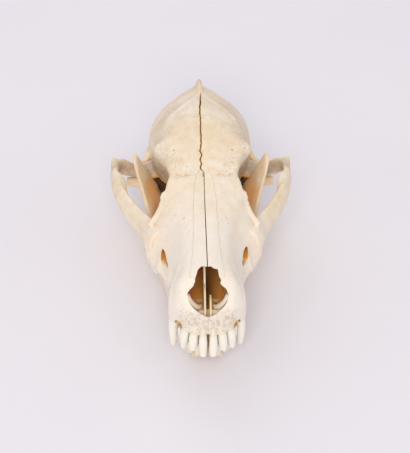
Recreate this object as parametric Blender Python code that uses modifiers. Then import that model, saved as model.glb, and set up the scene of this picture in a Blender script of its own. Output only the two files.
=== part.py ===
"""A dog's skull with its lower jaw closed on it, resting on the edges of the jaw.

Each bone, or group of bones that has grown together, is its own object, with its teeth in it.
Sizes are millimetres in the skull's own frame: x to the animal's left, y back from the front
of the upper incisor sockets, and z up from the plane of the bony palate.
"""

import math

import bmesh
import bpy
from mathutils import Matrix, Vector

MM = 0.001

# Driving sizes
BONE_GAP = 0.3  # between two bones that touch
JAW_TILT = 3.0  # degrees that the nose points up when the jaw rests on a table
FUSE_GRAIN = 0.9  # voxel size at which the forms of one bone grow together
FLOOR_CUT = 0.5  # how far the flats under the jaw cut into its lowest points
SKULL_FACES = 5800  # triangles of the upper skull before it is parted
JAW_FACES = 1150  # triangles of one side of the jaw without its teeth
NASAL_DEPTH = 3.4  # thickness of the nasal bones
ROOF_THICKNESS = 2.4  # bone over the nasal cavity
CAVITY_SHOULDER = 9.5  # half width of the nasal cavity under its roof
SEPTUM_THICKNESS = 1.0
RIGHT_CANAL_DROP = 2.0  # how much lower the canal under the right eye opens than the left one

# Sections across the skull from front to back: y, lean of the section in y per mm of height
# over LEAN_LEVEL, and the left half of the outline from the palate's middle round to the crown
LEAN_LEVEL = 20.0
SECTIONS = (
    (0.3, 0, ((0, -0.4), (4.5, -0.8), (8, 0.4), (8.3, 1.8), (8, 2.8), (7, 3.6), (4.5, 4.2), (0, 4))),
    (3, 0, ((0, -0.4), (7.5, -1), (12, 0.2), (12.4, 3), (12, 5.5), (10.8, 7.5), (8, 8.6), (0, 8))),
    (7, 0, ((0, -0.2), (10, -1), (15.4, 0), (16, 4), (15.2, 8.5), (13.8, 11.8), (11, 13.8), (0, 13.8))),
    (12, 0, ((0, 0), (12.5, -0.8), (18.4, 0), (19.2, 5), (18.2, 11), (16, 16.5), (12.5, 20), (0, 21))),
    (17, 0, ((0, 0), (13, -0.8), (20, 0.2), (20.3, 6), (19.2, 13), (16.6, 20), (12.4, 24.8), (0, 26.8))),
    (
        22, 0,
        ((0, 0.2), (12, -0.6), (19.2, 0.4), (19.6, 7), (18.8, 14.5), (15.6, 21.5), (11.2, 26.8), (0, 29.8)),
    ),
    (
        30, 0,
        ((0, 0.6), (11.5, -0.4), (17.8, 0.6), (17.8, 7.5), (16.8, 15), (14.2, 22), (10.2, 28), (0, 31.6)),
    ),
    (40, 0, ((0, 1), (13, -0.2), (19.8, 0.4), (18.8, 7.5), (17.4, 15), (14.6, 23), (10.6, 30), (0, 33.6))),
    (50, 0, ((0, 1.4), (17, 0), (24.6, 0), (22.8, 7), (20.6, 14.5), (16.4, 23.5), (11.4, 32), (0, 35.6))),
    (58, 0, ((0, 1.6), (21, 0), (29.4, 0), (27.4, 6.5), (24.4, 14.5), (19, 24.5), (12.8, 34), (0, 37.4))),
    (65, 0, ((0, 1.8), (23, 0), (31.2, 0.2), (32, 8.4), (29.6, 16), (23, 25.5), (14.8, 36), (0, 39.2))),
    (70, 0, ((0, 2), (22.5, 0), (31, 0.4), (31.8, 8), (29, 15.6), (24.2, 27.4), (16.4, 38), (0, 40.8))),
    (75, 0, ((0, 2.2), (21, 0), (30, 0.5), (29, 6), (19.5, 15), (22.8, 34.8), (16.2, 40.8), (0, 42.8))),
    (80, 0, ((0, 2.4), (19, 0), (27.6, 0.6), (24, 5.4), (15.5, 16), (20.8, 39.2), (14.5, 43.6), (0, 45))),
    (
        85, 0,
        ((0, 2.8), (16, 0.2), (26, 0.8), (22, 5.6), (14, 17), (18.9, 42.2), (12.6, 46.4), (0, 47.6)),
    ),
    (90, 0, ((0, 4), (11, 1.6), (22, 1.8), (17, 6.5), (13, 19), (20.4, 45), (13.6, 49.6), (0, 50.2))),
    (95, 0, ((0, 6), (8, 3.4), (13, 4.6), (12.4, 9.5), (12.6, 21), (21.8, 46), (15.2, 51), (0, 53))),
    (99, 0, ((0, 7), (6, 5.2), (10, 6.4), (11.8, 11), (13.2, 23), (24, 46.8), (15.6, 52.8), (0, 55))),
    (103, 0, ((0, 8), (6, 6.6), (10.4, 7.8), (12.4, 13), (14.4, 25), (27.6, 46.6), (16, 54), (0, 56.8))),
    (
        108, 0,
        ((0, 8.6), (6.5, 7.4), (11.2, 8.6), (14, 14), (17, 27), (25.4, 45.6), (16.2, 55), (0, 58.6)),
    ),
    (
        114, 0,
        ((0, 8.4), (8, 7.2), (13.8, 8.8), (18.4, 14.5), (21.2, 26), (24, 44), (16.4, 55.4), (0, 60)),
    ),
    (121, 0, ((0, 7.6), (10, 6.6), (18, 8.2), (24, 14.5), (26.4, 26), (25.4, 42.6), (16.8, 54.6), (0, 60.8))),
    (
        130, 0,
        ((0, 6.6), (12, 6), (22, 8.2), (27.4, 15.5), (29, 26.4), (27, 40.6), (17, 53.2), (0, 60.4)),
    ),
    (
        138, 0.02,
        ((0, 6.4), (13, 6), (24, 8.6), (28.4, 16.5), (29.4, 26.4), (26.4, 39), (16.2, 50.8), (0, 58.4)),
    ),
    (144, 0.15, ((0, 6.8), (13, 6.6), (24, 9), (28.8, 16), (29.4, 25.4), (26, 37), (16, 48), (0, 56))),
    (148, 0.42, ((0, 8), (13, 7.6), (24, 9.6), (29, 15), (30, 23), (26.4, 33.6), (17, 43), (0, 51.4))),
)
OCCIPUT_RINGS = ((0.9, 26, 149.5, 0.32), (0.62, 23, 155.6, 0.14), (0.32, 20, 158.4, 0.05))
SECTION_STEP = 1.6
OUTLINE_STEPS = 5

# Middle line of the cheek arch from the face back to the braincase
ARCH_PATH = (
    (26.4, 62.5, 12.8),
    (30.2, 69, 13.2),
    (33, 76, 13.2),
    (38.4, 85, 13.8),
    (43.2, 94, 15),
    (47.8, 105, 16.8),
    (50, 116, 17.8),
    (50, 123, 18.6),
    (47.4, 128.6, 18),
    (42, 130.8, 13.6),
    (36, 131.4, 12),
    (27, 132, 12.4),
)

# Nasal cavity: y, half width low down, widest half width, height of the floor and of the widest line
CAVITY = (
    (9, 4, 7, 8, 12),
    (14, 6.5, 10.4, 6.6, 15),
    (20, 8, 12, 6, 17),
    (32, 8.5, 12, 5.5, 16),
    (46, 9.5, 13.5, 5.5, 16),
    (58, 9, 12, 7, 18),
    (64, 4, 6, 11, 19),
)

# Edge of the nose opening, from the tip of the nasal bones down the left side to its floor
NOSE_OPENING = (
    (0, 20.4, 30),
    (4, 20, 29.4),
    (6, 18.6, 28),
    (6.8, 15.6, 25.4),
    (7.5, 13.4, 23.6),
    (10.3, 11, 21.2),
    (10.8, 9.4, 18.6),
    (9, 7.6, 14.6),
    (5.6, 6.2, 10.8),
    (2.6, 5.6, 8.8),
    (0, 5.4, 8),
)
# Distance from the middle and outline in y and z of the plates in the nose
SEPTUM_PLATES = (
    (-1.4, ((7.6, 5), (8.6, 8.4), (20, 18.6), (30, 27.4), (34, 31), (58, 33), (60, 5))),
    (1.6, ((7.6, 5), (8.6, 8.4), (16, 14), (20, 11), (23, 5))),
)

# The ramus of the lower jaw as slices from its lower edge to the coronoid tip: height, front edge,
# back edge, distance from the middle, thickness, and how much its back edge turns to the middle
RAMUS = (
    (-27.4, 88, 104, 24.6, 3.4, -0.16),
    (-26, 83, 116, 25, 4.8, -0.16),
    (-23.5, 81, 127, 25.8, 5, -0.14),
    (-20, 80, 130, 26.4, 4.8, -0.1),
    (-16, 79, 126, 26.4, 4.6, -0.06),
    (-10, 79.5, 122, 26.6, 4.8, 0),
    (-4, 83.5, 121, 27.2, 4.8, 0.06),
    (2, 88, 125, 27.6, 5.2, 0.12),
    (8, 93, 125, 28.6, 5, 0.13),
    (14, 98.6, 122.4, 31.2, 4, 0.13),
    (20, 105, 123, 33.8, 3.6, 0.12),
    (26, 112, 124.6, 36.8, 3, 0.1),
    (30, 117.6, 124.8, 38.4, 2.4, 0.1),
)
JAW_LEAN = 0.24  # how much the lower edge of the body lies nearer the middle
# The body of the lower jaw: y, distance from the middle, height, thickness and depth
JAW_BODY = (
    (3, 4.2, -16, 8.4, 4.4),
    (8, 5.2, -16.6, 10, 6.8),
    (16, 7.4, -18.8, 14.6, 13),
    (25, 8.4, -20.2, 14.6, 16),
    (30, 9.8, -20.4, 10.6, 16.4),
    (38, 11.8, -20.4, 8.2, 16.6),
    (48, 14.6, -20.2, 8.2, 17),
    (60, 17.6, -19.8, 8.4, 17.6),
    (72, 21, -19, 8, 18.4),
    (83, 24, -18, 6.8, 19),
    (92, 25.4, -16.6, 5, 19),
    (101, 26, -16, 3.2, 16),
)

# Teeth that are blades: y, x, turn in degrees, length, width, root, and heights along the length
UPPER_BLADES = (
    (25.4, 16.3, 84, 5.4, 3.6, 6, (1.5, 4.2, 1.6)),
    (35.6, 17.2, 86, 9.6, 4.2, 7, (1.4, 6.2, 2.6, 2.2)),
    (47.6, 20.6, 70, 11, 4.6, 7, (1.6, 7, 3.2, 3)),
    (65, 27.8, 71, 18.6, 6.4, 7, (3, 8.2, 10, 4.8, 6.4, 3)),
    (57.8, 24, 40, 5.5, 4.6, 5, (1, 3.6, 1.4)),
    (78.6, 25, -8, 13.4, 11, 5, (2.2, 3, 3.4, 5.4, 3.4)),
    (87.6, 22.2, -6, 9.6, 6.4, 4, (1.4, 2.2, 3.6, 2)),
)
LOWER_BLADES = (
    (22.6, 11.4, 84, 4.2, 3.2, 5, (1, 3, 1.2)),
    (30.6, 12, 80, 8, 3.8, 6, (1.4, 4.8, 2)),
    (41, 14.2, 75, 9.4, 4.2, 6, (1.4, 5.6, 2.8, 2)),
    (52.6, 17.4, 74, 10.6, 4.6, 6, (1.8, 6.4, 4, 2.4)),
    (68, 21.2, 73, 19.4, 6.4, 7, (3.4, 7.4, 8.6, 5, 4.4, 3.6)),
    (82.2, 24.2, 76, 8, 5.6, 5, (2.4, 3.4, 2.6)),
    (89, 25.6, 80, 4.4, 4, 4, (1.4, 2, 1.4)),
)
# Teeth that are curved cones: path from root to tip as (x, y, z), then width across and along
UPPER_PEGS = (
    (
        ((2.6, 5, 6), (2.7, 0.8, 1), (2.75, -2.2, -5), (2.7, -4, -12.2)),
        (3, 3.8, 4.7, 3.2), (4, 4.4, 4.2, 1.8),
    ),
    (
        ((6.4, 6, 6), (7.3, 2.4, 1), (7.9, 0, -4.5), (8.1, -1.2, -10.2)),
        (3.2, 4.2, 5.2, 3.2), (4, 4.6, 4.4, 1.8),
    ),
    (
        ((9.6, 7.4, 6), (11.6, 5.2, 1), (12.6, 3.4, -5), (13, 2.2, -11.4)),
        (3.4, 4.6, 5, 2.8), (4, 5, 5.2, 2),
    ),
    (
        ((16, 24, 9), (17.2, 18, 1), (18.1, 14.8, -8), (18.2, 13.8, -19.4)),
        (5, 6, 5.8, 2.6), (7, 8.2, 6.4, 2.6),
    ),
)
LOWER_PEGS = (
    (
        ((1.9, 6.4, -18), (1.9, 2.2, -15.5), (1.9, 1.4, -12), (1.9, 1.2, -8.4)),
        (2.2, 2.8, 3.4, 2.6), (3, 3.6, 3, 1.6),
    ),
    (
        ((4.8, 7.6, -18.2), (5.2, 2.8, -15.5), (5.6, 2.2, -12), (5.8, 2, -8)),
        (2.4, 3.2, 3.8, 2.6), (3, 3.8, 3.2, 1.6),
    ),
    (
        ((7.4, 10.5, -18.5), (8.6, 5.4, -15.5), (9.4, 4.2, -11.5), (9.7, 3.8, -7.8)),
        (2.8, 3.6, 4, 2.4), (3.4, 4, 3.4, 1.6),
    ),
    (
        ((9.5, 20, -23), (11.4, 13, -15), (13.8, 9, -8), (15.2, 8.4, -1.4)),
        (4.4, 5.4, 4.2, 1.4), (6.5, 7.4, 4.6, 1.6),
    ),
)
BLADE_SHAPE = (
    (-0.34, -1.0),
    (-0.5, 0.0),
    (-0.5, 0.42),
    (-0.12, 1.0),
    (0.12, 1.0),
    (0.5, 0.42),
    (0.5, 0.0),
    (0.34, -1.0),
)


def smooth_value(knots, at):
    """The value at a place on the smooth curve through knots of (place, value)."""
    if at <= knots[0][0]:
        return knots[0][1]
    if at >= knots[-1][0]:
        return knots[-1][1]
    i = max(n for n, knot in enumerate(knots) if knot[0] <= at)
    span = knots[i + 1][0] - knots[i][0]
    t = (at - knots[i][0]) / span

    def slope(n):
        low, high = max(n - 1, 0), min(n + 1, len(knots) - 1)
        return (knots[high][1] - knots[low][1]) / (knots[high][0] - knots[low][0])

    start = knots[i][1] * (2 * t**3 - 3 * t**2 + 1) + slope(i) * span * (t**3 - 2 * t**2 + t)
    end = knots[i + 1][1] * (3 * t**2 - 2 * t**3) + slope(i + 1) * span * (t**3 - t**2)
    return start + end


def column(rows, index):
    """Knots of one column of a table whose first column is the place."""
    return [(row[0], row[index]) for row in rows]


def steps(first, last, count):
    return [first + (last - first) * n / (count - 1) for n in range(count)]


def loft(bm, rings):
    """A closed skin over rings of equal count, extruded from one ring to the next."""
    made = [bm.verts.new(p) for p in rings[0]]
    edges = [bm.edges.new((made[i], made[(i + 1) % len(made)])) for i in range(len(made))]
    bm.faces.new(made)
    for ring in rings[1:]:
        grown = bmesh.ops.extrude_edge_only(bm, edges=edges)["geom"]
        new = {g for g in grown if isinstance(g, bmesh.types.BMVert)}
        following = []
        for old, place in zip(made, ring):
            other = next(e.other_vert(old) for e in old.link_edges if e.other_vert(old) in new)
            other.co = place
            following.append(other)
        made = following
        edges = [bm.edges.get((made[i], made[(i + 1) % len(made)])) for i in range(len(made))]
    bm.faces.new(made)


def bar(bm, path, widths, heights, up=(0, 0, 1), count=12, per_span=3):
    """A bent bar along a path with an oval section: widths across, heights towards up."""
    lines = [[(n, p[axis]) for n, p in enumerate(path)] for axis in range(3)]
    total = (len(path) - 1) * per_span + 1
    centres = [Vector([smooth_value(line, n / per_span) for line in lines]) for n in range(total)]
    rings = []
    for n, centre in enumerate(centres):
        ahead = centres[min(n + 1, total - 1)] - centres[max(n - 1, 0)]
        side = ahead.cross(Vector(up)).normalized()
        rise = side.cross(ahead).normalized()
        wide = smooth_value(list(enumerate(widths)), n / per_span) / 2
        high = smooth_value(list(enumerate(heights)), n / per_span) / 2
        turns = [2 * math.pi * k / count for k in range(count)]
        rings.append([centre + side * wide * math.cos(a) + rise * high * math.sin(a) for a in turns])
    loft(bm, rings)


def ball(bm, centre, radii, turn=(0, 0, 0), fine=20):
    """An ellipsoid, turned by angles in degrees about x, y and z."""
    spin = Matrix.Identity(4)
    for angle, axis in zip(turn, "XYZ"):
        spin = Matrix.Rotation(math.radians(angle), 4, axis) @ spin
    place = Matrix.Translation(centre) @ spin @ Matrix.Diagonal((*radii, 1))
    bmesh.ops.create_uvsphere(bm, u_segments=fine, v_segments=fine // 2, radius=1, matrix=place)


def add_side(bm, build, side):
    """Adds what build makes for the left side, or its mirror image."""
    half = bmesh.new()
    build(half)
    bmesh.ops.recalc_face_normals(half, faces=half.faces)
    if side < 0:
        bmesh.ops.scale(half, vec=(-1, 1, 1), verts=half.verts)
        bmesh.ops.reverse_faces(half, faces=half.faces)
    copy = bpy.data.meshes.new("side")
    half.to_mesh(copy)
    half.free()
    bm.from_mesh(copy)
    bpy.data.meshes.remove(copy)


def both_sides(bm, build):
    add_side(bm, build, 1)
    add_side(bm, build, -1)


def object_from(name, bm):
    """The bmesh as an object in metres, with its faces turned out."""
    bmesh.ops.recalc_face_normals(bm, faces=bm.faces)
    bmesh.ops.scale(bm, vec=(MM, MM, MM), verts=bm.verts)
    mesh = bpy.data.meshes.new(name)
    bm.to_mesh(mesh)
    bm.free()
    made = bpy.data.objects.new(name, mesh)
    bpy.context.scene.collection.objects.link(made)
    return made


def made_by(name, build, side=1):
    bm = bmesh.new()
    add_side(bm, build, side)
    return object_from(name, bm)


def settle(made):
    """Replaces an object's mesh by what its modifiers make of it."""
    graph = bpy.context.evaluated_depsgraph_get()
    mesh = bpy.data.meshes.new_from_object(made.evaluated_get(graph))
    old = made.data
    made.modifiers.clear()
    made.data = mesh
    bpy.data.meshes.remove(old)
    return made


def grow_together(made, rounds=4):
    """Fuses all closed forms in the object into one surface and softens where they meet."""
    remesh = made.modifiers.new("fuse", "REMESH")
    remesh.mode = "VOXEL"
    remesh.voxel_size = FUSE_GRAIN * MM
    soften = made.modifiers.new("soften", "SMOOTH")
    soften.factor = 0.5
    soften.iterations = rounds
    return settle(made)


def thin_out(made, faces):
    """Brings the object down to about this many triangles."""
    made.data.calc_loop_triangles()
    thin = made.modifiers.new("thin", "DECIMATE")
    thin.ratio = min(1.0, faces / len(made.data.loop_triangles))
    return settle(made)


def combine(made, operation, other):
    tool = made.modifiers.new("combine", "BOOLEAN")
    tool.operation = operation
    tool.solver = "MANIFOLD"
    tool.object = other
    settle(made)
    bpy.data.objects.remove(other)
    return made


def unite(made, collection):
    """One union of an object with every closed mesh in a collection, which is then emptied."""
    tool = made.modifiers.new("unite", "BOOLEAN")
    tool.operation = "UNION"
    tool.solver = "MANIFOLD"
    tool.operand_type = "COLLECTION"
    tool.collection = collection
    settle(made)
    for part in list(collection.objects):
        bpy.data.objects.remove(part)
    return made


def copy_of(made, name):
    copy = made.copy()
    copy.data = made.data.copy()
    copy.name = name
    copy.data.name = name
    bpy.context.scene.collection.objects.link(copy)
    return copy


def keep_largest(made):
    """Keeps the largest closed surface of the object and drops every crumb."""
    bm = bmesh.new()
    bm.from_mesh(made.data)
    bmesh.ops.remove_doubles(bm, verts=bm.verts, dist=0.00001)
    left = set(bm.faces)
    pieces = []
    while left:
        grown = [left.pop()]
        piece = list(grown)
        while grown:
            face = grown.pop()
            for edge in face.edges:
                for other in edge.link_faces:
                    if other in left:
                        left.discard(other)
                        grown.append(other)
                        piece.append(other)
        pieces.append(piece)
    pieces.sort(key=lambda piece: sum(face.calc_area() for face in piece))
    for piece in pieces[:-1]:
        bmesh.ops.delete(bm, geom=piece, context="FACES")
    bmesh.ops.delete(bm, geom=[v for v in bm.verts if not v.link_faces], context="VERTS")
    bm.to_mesh(made.data)
    bm.free()
    return made


def section_at(y):
    """The whole outline of the skull at y, going round from the palate's middle."""
    lean = smooth_value([(row[0], row[1]) for row in SECTIONS], y)
    marks = []
    for n in range(len(SECTIONS[0][2])):
        x = smooth_value([(row[0], row[2][n][0]) for row in SECTIONS], y)
        z = smooth_value([(row[0], row[2][n][1]) for row in SECTIONS], y)
        marks.append((x, z))
    outline = marks + [(-x, z) for x, z in marks[-2:0:-1]]
    count = len(outline)
    ring = []
    for n in range(count):
        a, b, c, d = [Vector(outline[(n + k) % count]) for k in (-1, 0, 1, 2)]
        for k in range(OUTLINE_STEPS):
            t = k / OUTLINE_STEPS
            flat = (
                b * (2 * t**3 - 3 * t**2 + 1)
                + (c - a) * 0.5 * (t**3 - 2 * t**2 + t)
                + c * (3 * t**2 - 2 * t**3)
                + (d - b) * 0.5 * (t**3 - t**2)
            )
            ring.append(Vector((flat.x, y + lean * (flat.y - LEAN_LEVEL), flat.y)))
    return ring


def add_skull_form(bm):
    first, last = SECTIONS[0][0], SECTIONS[-1][0]
    rings = [section_at(y) for y in steps(first, last, round((last - first) / SECTION_STEP))]
    edge = rings[-1]
    for size, middle, y, lean in OCCIPUT_RINGS:
        ring = []
        for p in edge:
            z = middle + (p.z - middle) * size
            ring.append(Vector((p.x * size, y + lean * (z - LEAN_LEVEL), z)))
        rings.append(ring)
    loft(bm, rings)


def add_arch(bm):
    bar(
        bm,
        ARCH_PATH,
        (9.6, 7.6, 5.6, 5, 4.6, 4.4, 4.2, 4.4, 5, 6, 8, 9),
        (16, 17, 15.4, 14, 12.8, 10.8, 9, 9.6, 10, 9.6, 9.4, 13),
        (-0.34, 0, 1),
    )
    bar(
        bm,
        (
            (37, 84, 16.6),
            (40.6, 91, 17.4),
            (43.6, 97, 18),
            (45, 103, 19),
            (45.8, 109, 20.2),
            (47.6, 114, 20.8),
            (50, 120, 20.6),
        ),
        (4, 4, 4, 4.6, 5, 4.6, 2),
        (3.4, 3.2, 3, 3, 3, 3, 2.4),
        count=10,
    )
    corner = ((48.4, 122.4, 19.4), (50.2, 126, 21.8), (51.6, 128.2, 24))
    bar(bm, corner, (4, 3.2, 1.6), (4, 3.2, 1.6), count=10)
    ball(bm, (50, 126.4, 20.6), (2.4, 4.4, 3.2), (0, 0, 10), 14)


def add_orbit_rim(bm):
    bar(
        bm,
        ((30.5, 68, 20.5), (26.2, 70.6, 26), (23.5, 73.2, 31.4), (21.6, 77.4, 36.6)),
        (3.4, 3, 3, 3),
        (3.4, 3, 3, 3),
        (1, 0, 0),
        10,
    )


def add_ear_and_joint(bm):
    ball(bm, (19.2, 135.4, 3.2), (9, 12, 8.4), (0, 0, 10))
    bar(bm, ((24, 130.5, 12), (33, 131, 11.6), (42, 130.6, 13.4)), (11, 11, 7), (6, 6, 5), count=12)
    ball(bm, (33.5, 135, 6.4), (6.6, 1.9, 6), (-8, 0, 0), 14)
    bar(
        bm,
        ((46, 130.6, 15.6), (39, 134.6, 12.6), (33, 140, 12.4), (29, 146, 15.6)),
        (4, 4, 4, 4),
        (4, 3.6, 3.4, 4),
        count=10,
    )
    bar(bm, ((20, 149, 12), (21.4, 153.6, 6), (21, 155.4, -4)), (9, 6.5, 2), (8, 5.5, 2.2), (0, 1, 0), 10)
    ball(bm, (27, 147.5, 12), (5, 6, 8), (0, 0, 0), 14)
    ball(bm, (25.6, 134, 8.4), (5.6, 6.6, 5.6), (0, 0, 0), 14)
    ball(bm, (10, 158.6, 11), (6.4, 6, 8.2), (18, 20, 0), 18)


def add_pterygoid(bm):
    bar(
        bm,
        ((9.5, 86, 5), (8.6, 94, 4.6), (8, 101, 4.4), (8.2, 106, 3.4)),
        (2.6, 2.2, 2, 1.6),
        (8, 8.4, 8, 3),
        count=10,
    )


def add_crests(bm):
    bar(
        bm,
        ((0, 141, 56.4), (0, 150, 56), (0, 159, 53), (0, 167.4, 49.6), (0, 171, 48.4)),
        (2.6, 3.2, 3.4, 3, 1.8),
        (3, 4.4, 6.4, 6, 3),
        count=12,
    )
    bar(bm, ((0, 167.5, 47), (0, 163.4, 40), (0, 160.6, 30)), (2.8, 2.8, 3), (5, 5, 5), (0, 1, 0), 10)


def add_beak(bm):
    bar(
        bm,
        ((0, 148, 47), (0, 156, 46.6), (0, 163, 46.2), (0, 168.4, 46.8)),
        (32, 27, 14, 4),
        (9, 8, 6, 4.4),
    )


def add_nuchal_edge(bm):
    bar(
        bm,
        (
            (0, 167.4, 47.4),
            (5.5, 163.6, 45.6),
            (11.4, 160.4, 43.4),
            (18, 156.8, 40),
            (24.2, 153, 33.4),
            (28.2, 150, 24.4),
            (28.2, 148.6, 15),
        ),
        (3.6, 3.2, 3, 3, 3, 3, 3),
        (3.6, 3.4, 3.2, 3.2, 3.2, 3.2, 3.2),
        (0, 1, 1),
        10,
    )


def cut_cavity(bm):
    rings = []
    for y in steps(CAVITY[0][0], CAVITY[-1][0], 26):
        low_half, half, floor, wide = [smooth_value(column(CAVITY, n), y) for n in (1, 2, 3, 4)]
        crown = smooth_value([(row[0], row[2][-1][1]) for row in SECTIONS], y)
        roof = crown - ROOF_THICKNESS
        shoulder = min(half, CAVITY_SHOULDER)
        right = (
            (low_half, floor),
            (half, wide),
            (half * 0.97, wide + 4),
            (shoulder, roof - 3),
            (shoulder * 0.6, roof),
        )
        outline = list(right) + [(-x, z) for x, z in reversed(right)]
        rings.append([Vector((x, y, z)) for x, z in outline])
    loft(bm, rings)


def cut_nose_opening(bm):
    outline = NOSE_OPENING + tuple((-x, y, z) for x, y, z in NOSE_OPENING[-2:0:-1])
    rings = []
    for out in (-7, 16):
        rings.append([Vector((x, y - out * 0.72, z + out * 0.7)) for x, y, z in outline])
    loft(bm, rings)


def add_septum(bm):
    """The two thin plates that stand on the floor of the nose."""
    for x, profile in SEPTUM_PLATES:
        rings = []
        for place in (x - SEPTUM_THICKNESS / 2, x + SEPTUM_THICKNESS / 2):
            rings.append([Vector((place, y, z)) for y, z in profile])
        loft(bm, rings)


def cut_palatine_fissure(bm):
    ball(bm, (5.2, 16.6, 3), (2.1, 5.6, 8), (0, 0, 4), 16)


def cut_infraorbital_canal(bm, drop):
    path = (
        (24.4, 43.6, 8.4 - drop),
        (22.6, 49.6, 11 - drop),
        (21.6, 60, 13),
        (22.4, 78, 12.4),
        (22, 86, 12),
    )
    bar(bm, path, (6.8, 5.4, 4, 5, 6), (7.6, 7, 5, 6, 8), count=12)


def cut_canine_notch(bm):
    """The notch behind the corner incisor that the lower canine closes into."""
    ball(bm, (15.6, 9, 0.8), (2, 2.6, 4.2), fine=14)


def cut_choana(bm):
    bar(bm, ((0, 90, 6), (0, 97, 6.4), (0, 108, 3)), (12, 12, 12), (7, 8, 8), count=12)


def cut_ear(bm):
    bar(bm, ((36, 142, 10), (28, 141, 9.4), (19, 139, 7)), (7, 6, 4), (7, 6, 4), count=12)


def cut_glenoid(bm):
    bar(
        bm,
        ((26.6, 127.6, 5), (35, 129, 5.6), (44.6, 128.8, 6.6)),
        (7.6, 8.2, 7.6),
        (7.6, 8.2, 7.6),
        (0, 1, 0),
        16,
    )


def cut_foramen_magnum(bm):
    bar(
        bm,
        ((0, 136, 22), (0, 148, 21), (0, 157, 17.4), (0, 172, 14)),
        (24, 22, 17, 17),
        (22, 20, 13.6, 14),
        count=18,
    )


def build_cranium():
    """The upper skull in one piece, before it is parted into its bones."""
    bm = bmesh.new()
    add_skull_form(bm)
    add_crests(bm)
    add_beak(bm)
    for build in (add_arch, add_orbit_rim, add_ear_and_joint, add_pterygoid, add_nuchal_edge):
        both_sides(bm, build)
    skull = grow_together(object_from("cranium", bm))
    for build in (cut_cavity, cut_nose_opening, cut_foramen_magnum, cut_choana):
        combine(skull, "DIFFERENCE", made_by("cutter", build))
    for side in (1, -1):
        for build in (cut_palatine_fissure, cut_canine_notch, cut_ear, cut_glenoid):
            combine(skull, "DIFFERENCE", made_by("cutter", build, side))
        drop = RIGHT_CANAL_DROP if side < 0 else 0
        combine(skull, "DIFFERENCE", made_by("cutter", lambda bm: cut_infraorbital_canal(bm, drop), side))
    thin_out(skull, SKULL_FACES)
    return keep_largest(combine(skull, "UNION", made_by("septum", add_septum)))


def add_jaw(bm):
    rings = []
    for z in steps(RAMUS[0][0], RAMUS[-1][0], 30):
        front, back, x, thick, turn = [smooth_value(column(RAMUS, n), z) for n in range(1, 6)]
        turns = [2 * math.pi * k / 20 for k in range(20)]
        ring = []
        for a in turns:
            along = math.copysign(abs(math.cos(a)) ** 0.7, math.cos(a))
            across = math.copysign(abs(math.sin(a)) ** 0.8, math.sin(a))
            y = along * (back - front) / 2
            ring.append(Vector((x + across * thick / 2 - turn * y, (front + back) / 2 + y, z)))
        rings.append(ring)
    loft(bm, rings)
    path = [(row[1], row[0], row[2]) for row in JAW_BODY]
    bar(bm, path, [row[3] for row in JAW_BODY], [row[4] for row in JAW_BODY], (JAW_LEAN, 0, 1), 16)
    bar(bm, ((27.4, 117, 0), (30.6, 124, 3), (34.6, 128, 4.6)), (6, 6, 7), (5, 5, 4), count=10)
    bar(
        bm,
        ((27.6, 127.8, 4.6), (35, 129, 5.4), (43.4, 128.8, 6.2)),
        (5.4, 6.6, 5.4),
        (5.4, 6.4, 5.4),
        (0, 1, 0),
        14,
    )
    bar(
        bm,
        ((26, 120, -21.6), (26.6, 128, -21.6), (27.6, 134.4, -18.8)),
        (4.6, 4.4, 2.6),
        (8, 7, 3.4),
        count=10,
    )


def blade_tooth(name, size, sign, level, side):
    """A tooth as a row of upright sections, whose tips rise and fall along its length."""
    y, x, turn, length, width, root, heights = size
    bm = bmesh.new()
    turned = Matrix.Rotation(math.radians(turn), 3, "Z")
    knots = list(zip(steps(-0.5, 0.5, len(heights)), heights))
    rings = []
    for t in steps(-0.5, 0.5, 2 * len(heights) - 1):
        wide = width * (0.34 + 0.66 * math.sqrt(max(0, 1 - (2 * t) ** 2)))
        high = smooth_value(knots, t)
        ring = []
        for across, up in BLADE_SHAPE:
            z = up * high if up > 0 else up * root
            place = turned @ Vector((t * length, across * wide, 0))
            ring.append(Vector((side * (x + place.x), y + place.y, level + sign * z)))
        rings.append(ring)
    loft(bm, rings)
    return object_from(name, bm)


def peg_tooth(name, size, side):
    path, widths, depths = size
    return made_by(name, lambda bm: bar(bm, path, widths, depths, (0, 1, 0.2), 8, 2), side)


def add_teeth(bone, side, pegs, blades, sign, level):
    group = bpy.data.collections.new("teeth")
    bpy.context.scene.collection.children.link(group)
    made = [peg_tooth("tooth", size, side) for size in pegs]
    made += [blade_tooth("tooth", size, sign, level, side) for size in blades]
    for tooth in made:
        bpy.context.scene.collection.objects.unlink(tooth)
        group.objects.link(tooth)
    unite(bone, group)
    bpy.data.collections.remove(group)
    return keep_largest(bone)


def nasal_region(bm, grow):
    """The strip of the nose bridge that is the two nasal bones."""
    half = ((16, 9.4), (24, 8.4), (40, 7), (60, 6.4), (76, 5.4), (84, 3))
    rings = []
    for y in steps(15 - grow, 84 + grow, 22):
        crown = smooth_value([(row[0], row[2][-1][1]) for row in SECTIONS], max(y, 20.5))
        wide = smooth_value(half, y) + grow
        low, high = crown - NASAL_DEPTH - grow, crown + 8
        flat = ((-wide, low), (wide, low), (wide, high), (-wide, high))
        rings.append([Vector((x, y, z)) for x, z in flat])
    loft(bm, rings)


def cheek_region(bm, grow):
    """The stretch of the cheek arch that is the zygomatic bone."""
    rings = []
    levels = ((-2, 79, 131), (8, 74, 127), (13, 70.6, 121.6), (18, 67.6, 112), (23, 65, 104.6), (30, 62, 97))
    for z, front, back in levels:
        plan = ((31.2, front), (40, front - 8.8), (60, front - 8.8), (60, back), (40, back - 2), (31.2, 92))
        middle = Vector((46, (front + back) / 2))
        ring = []
        for x, y in plan:
            away = (Vector((x, y)) - middle).normalized() * grow * 1.25
            ring.append(Vector((x + away.x, y + away.y, z)))
        rings.append(ring)
    loft(bm, rings)


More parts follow.
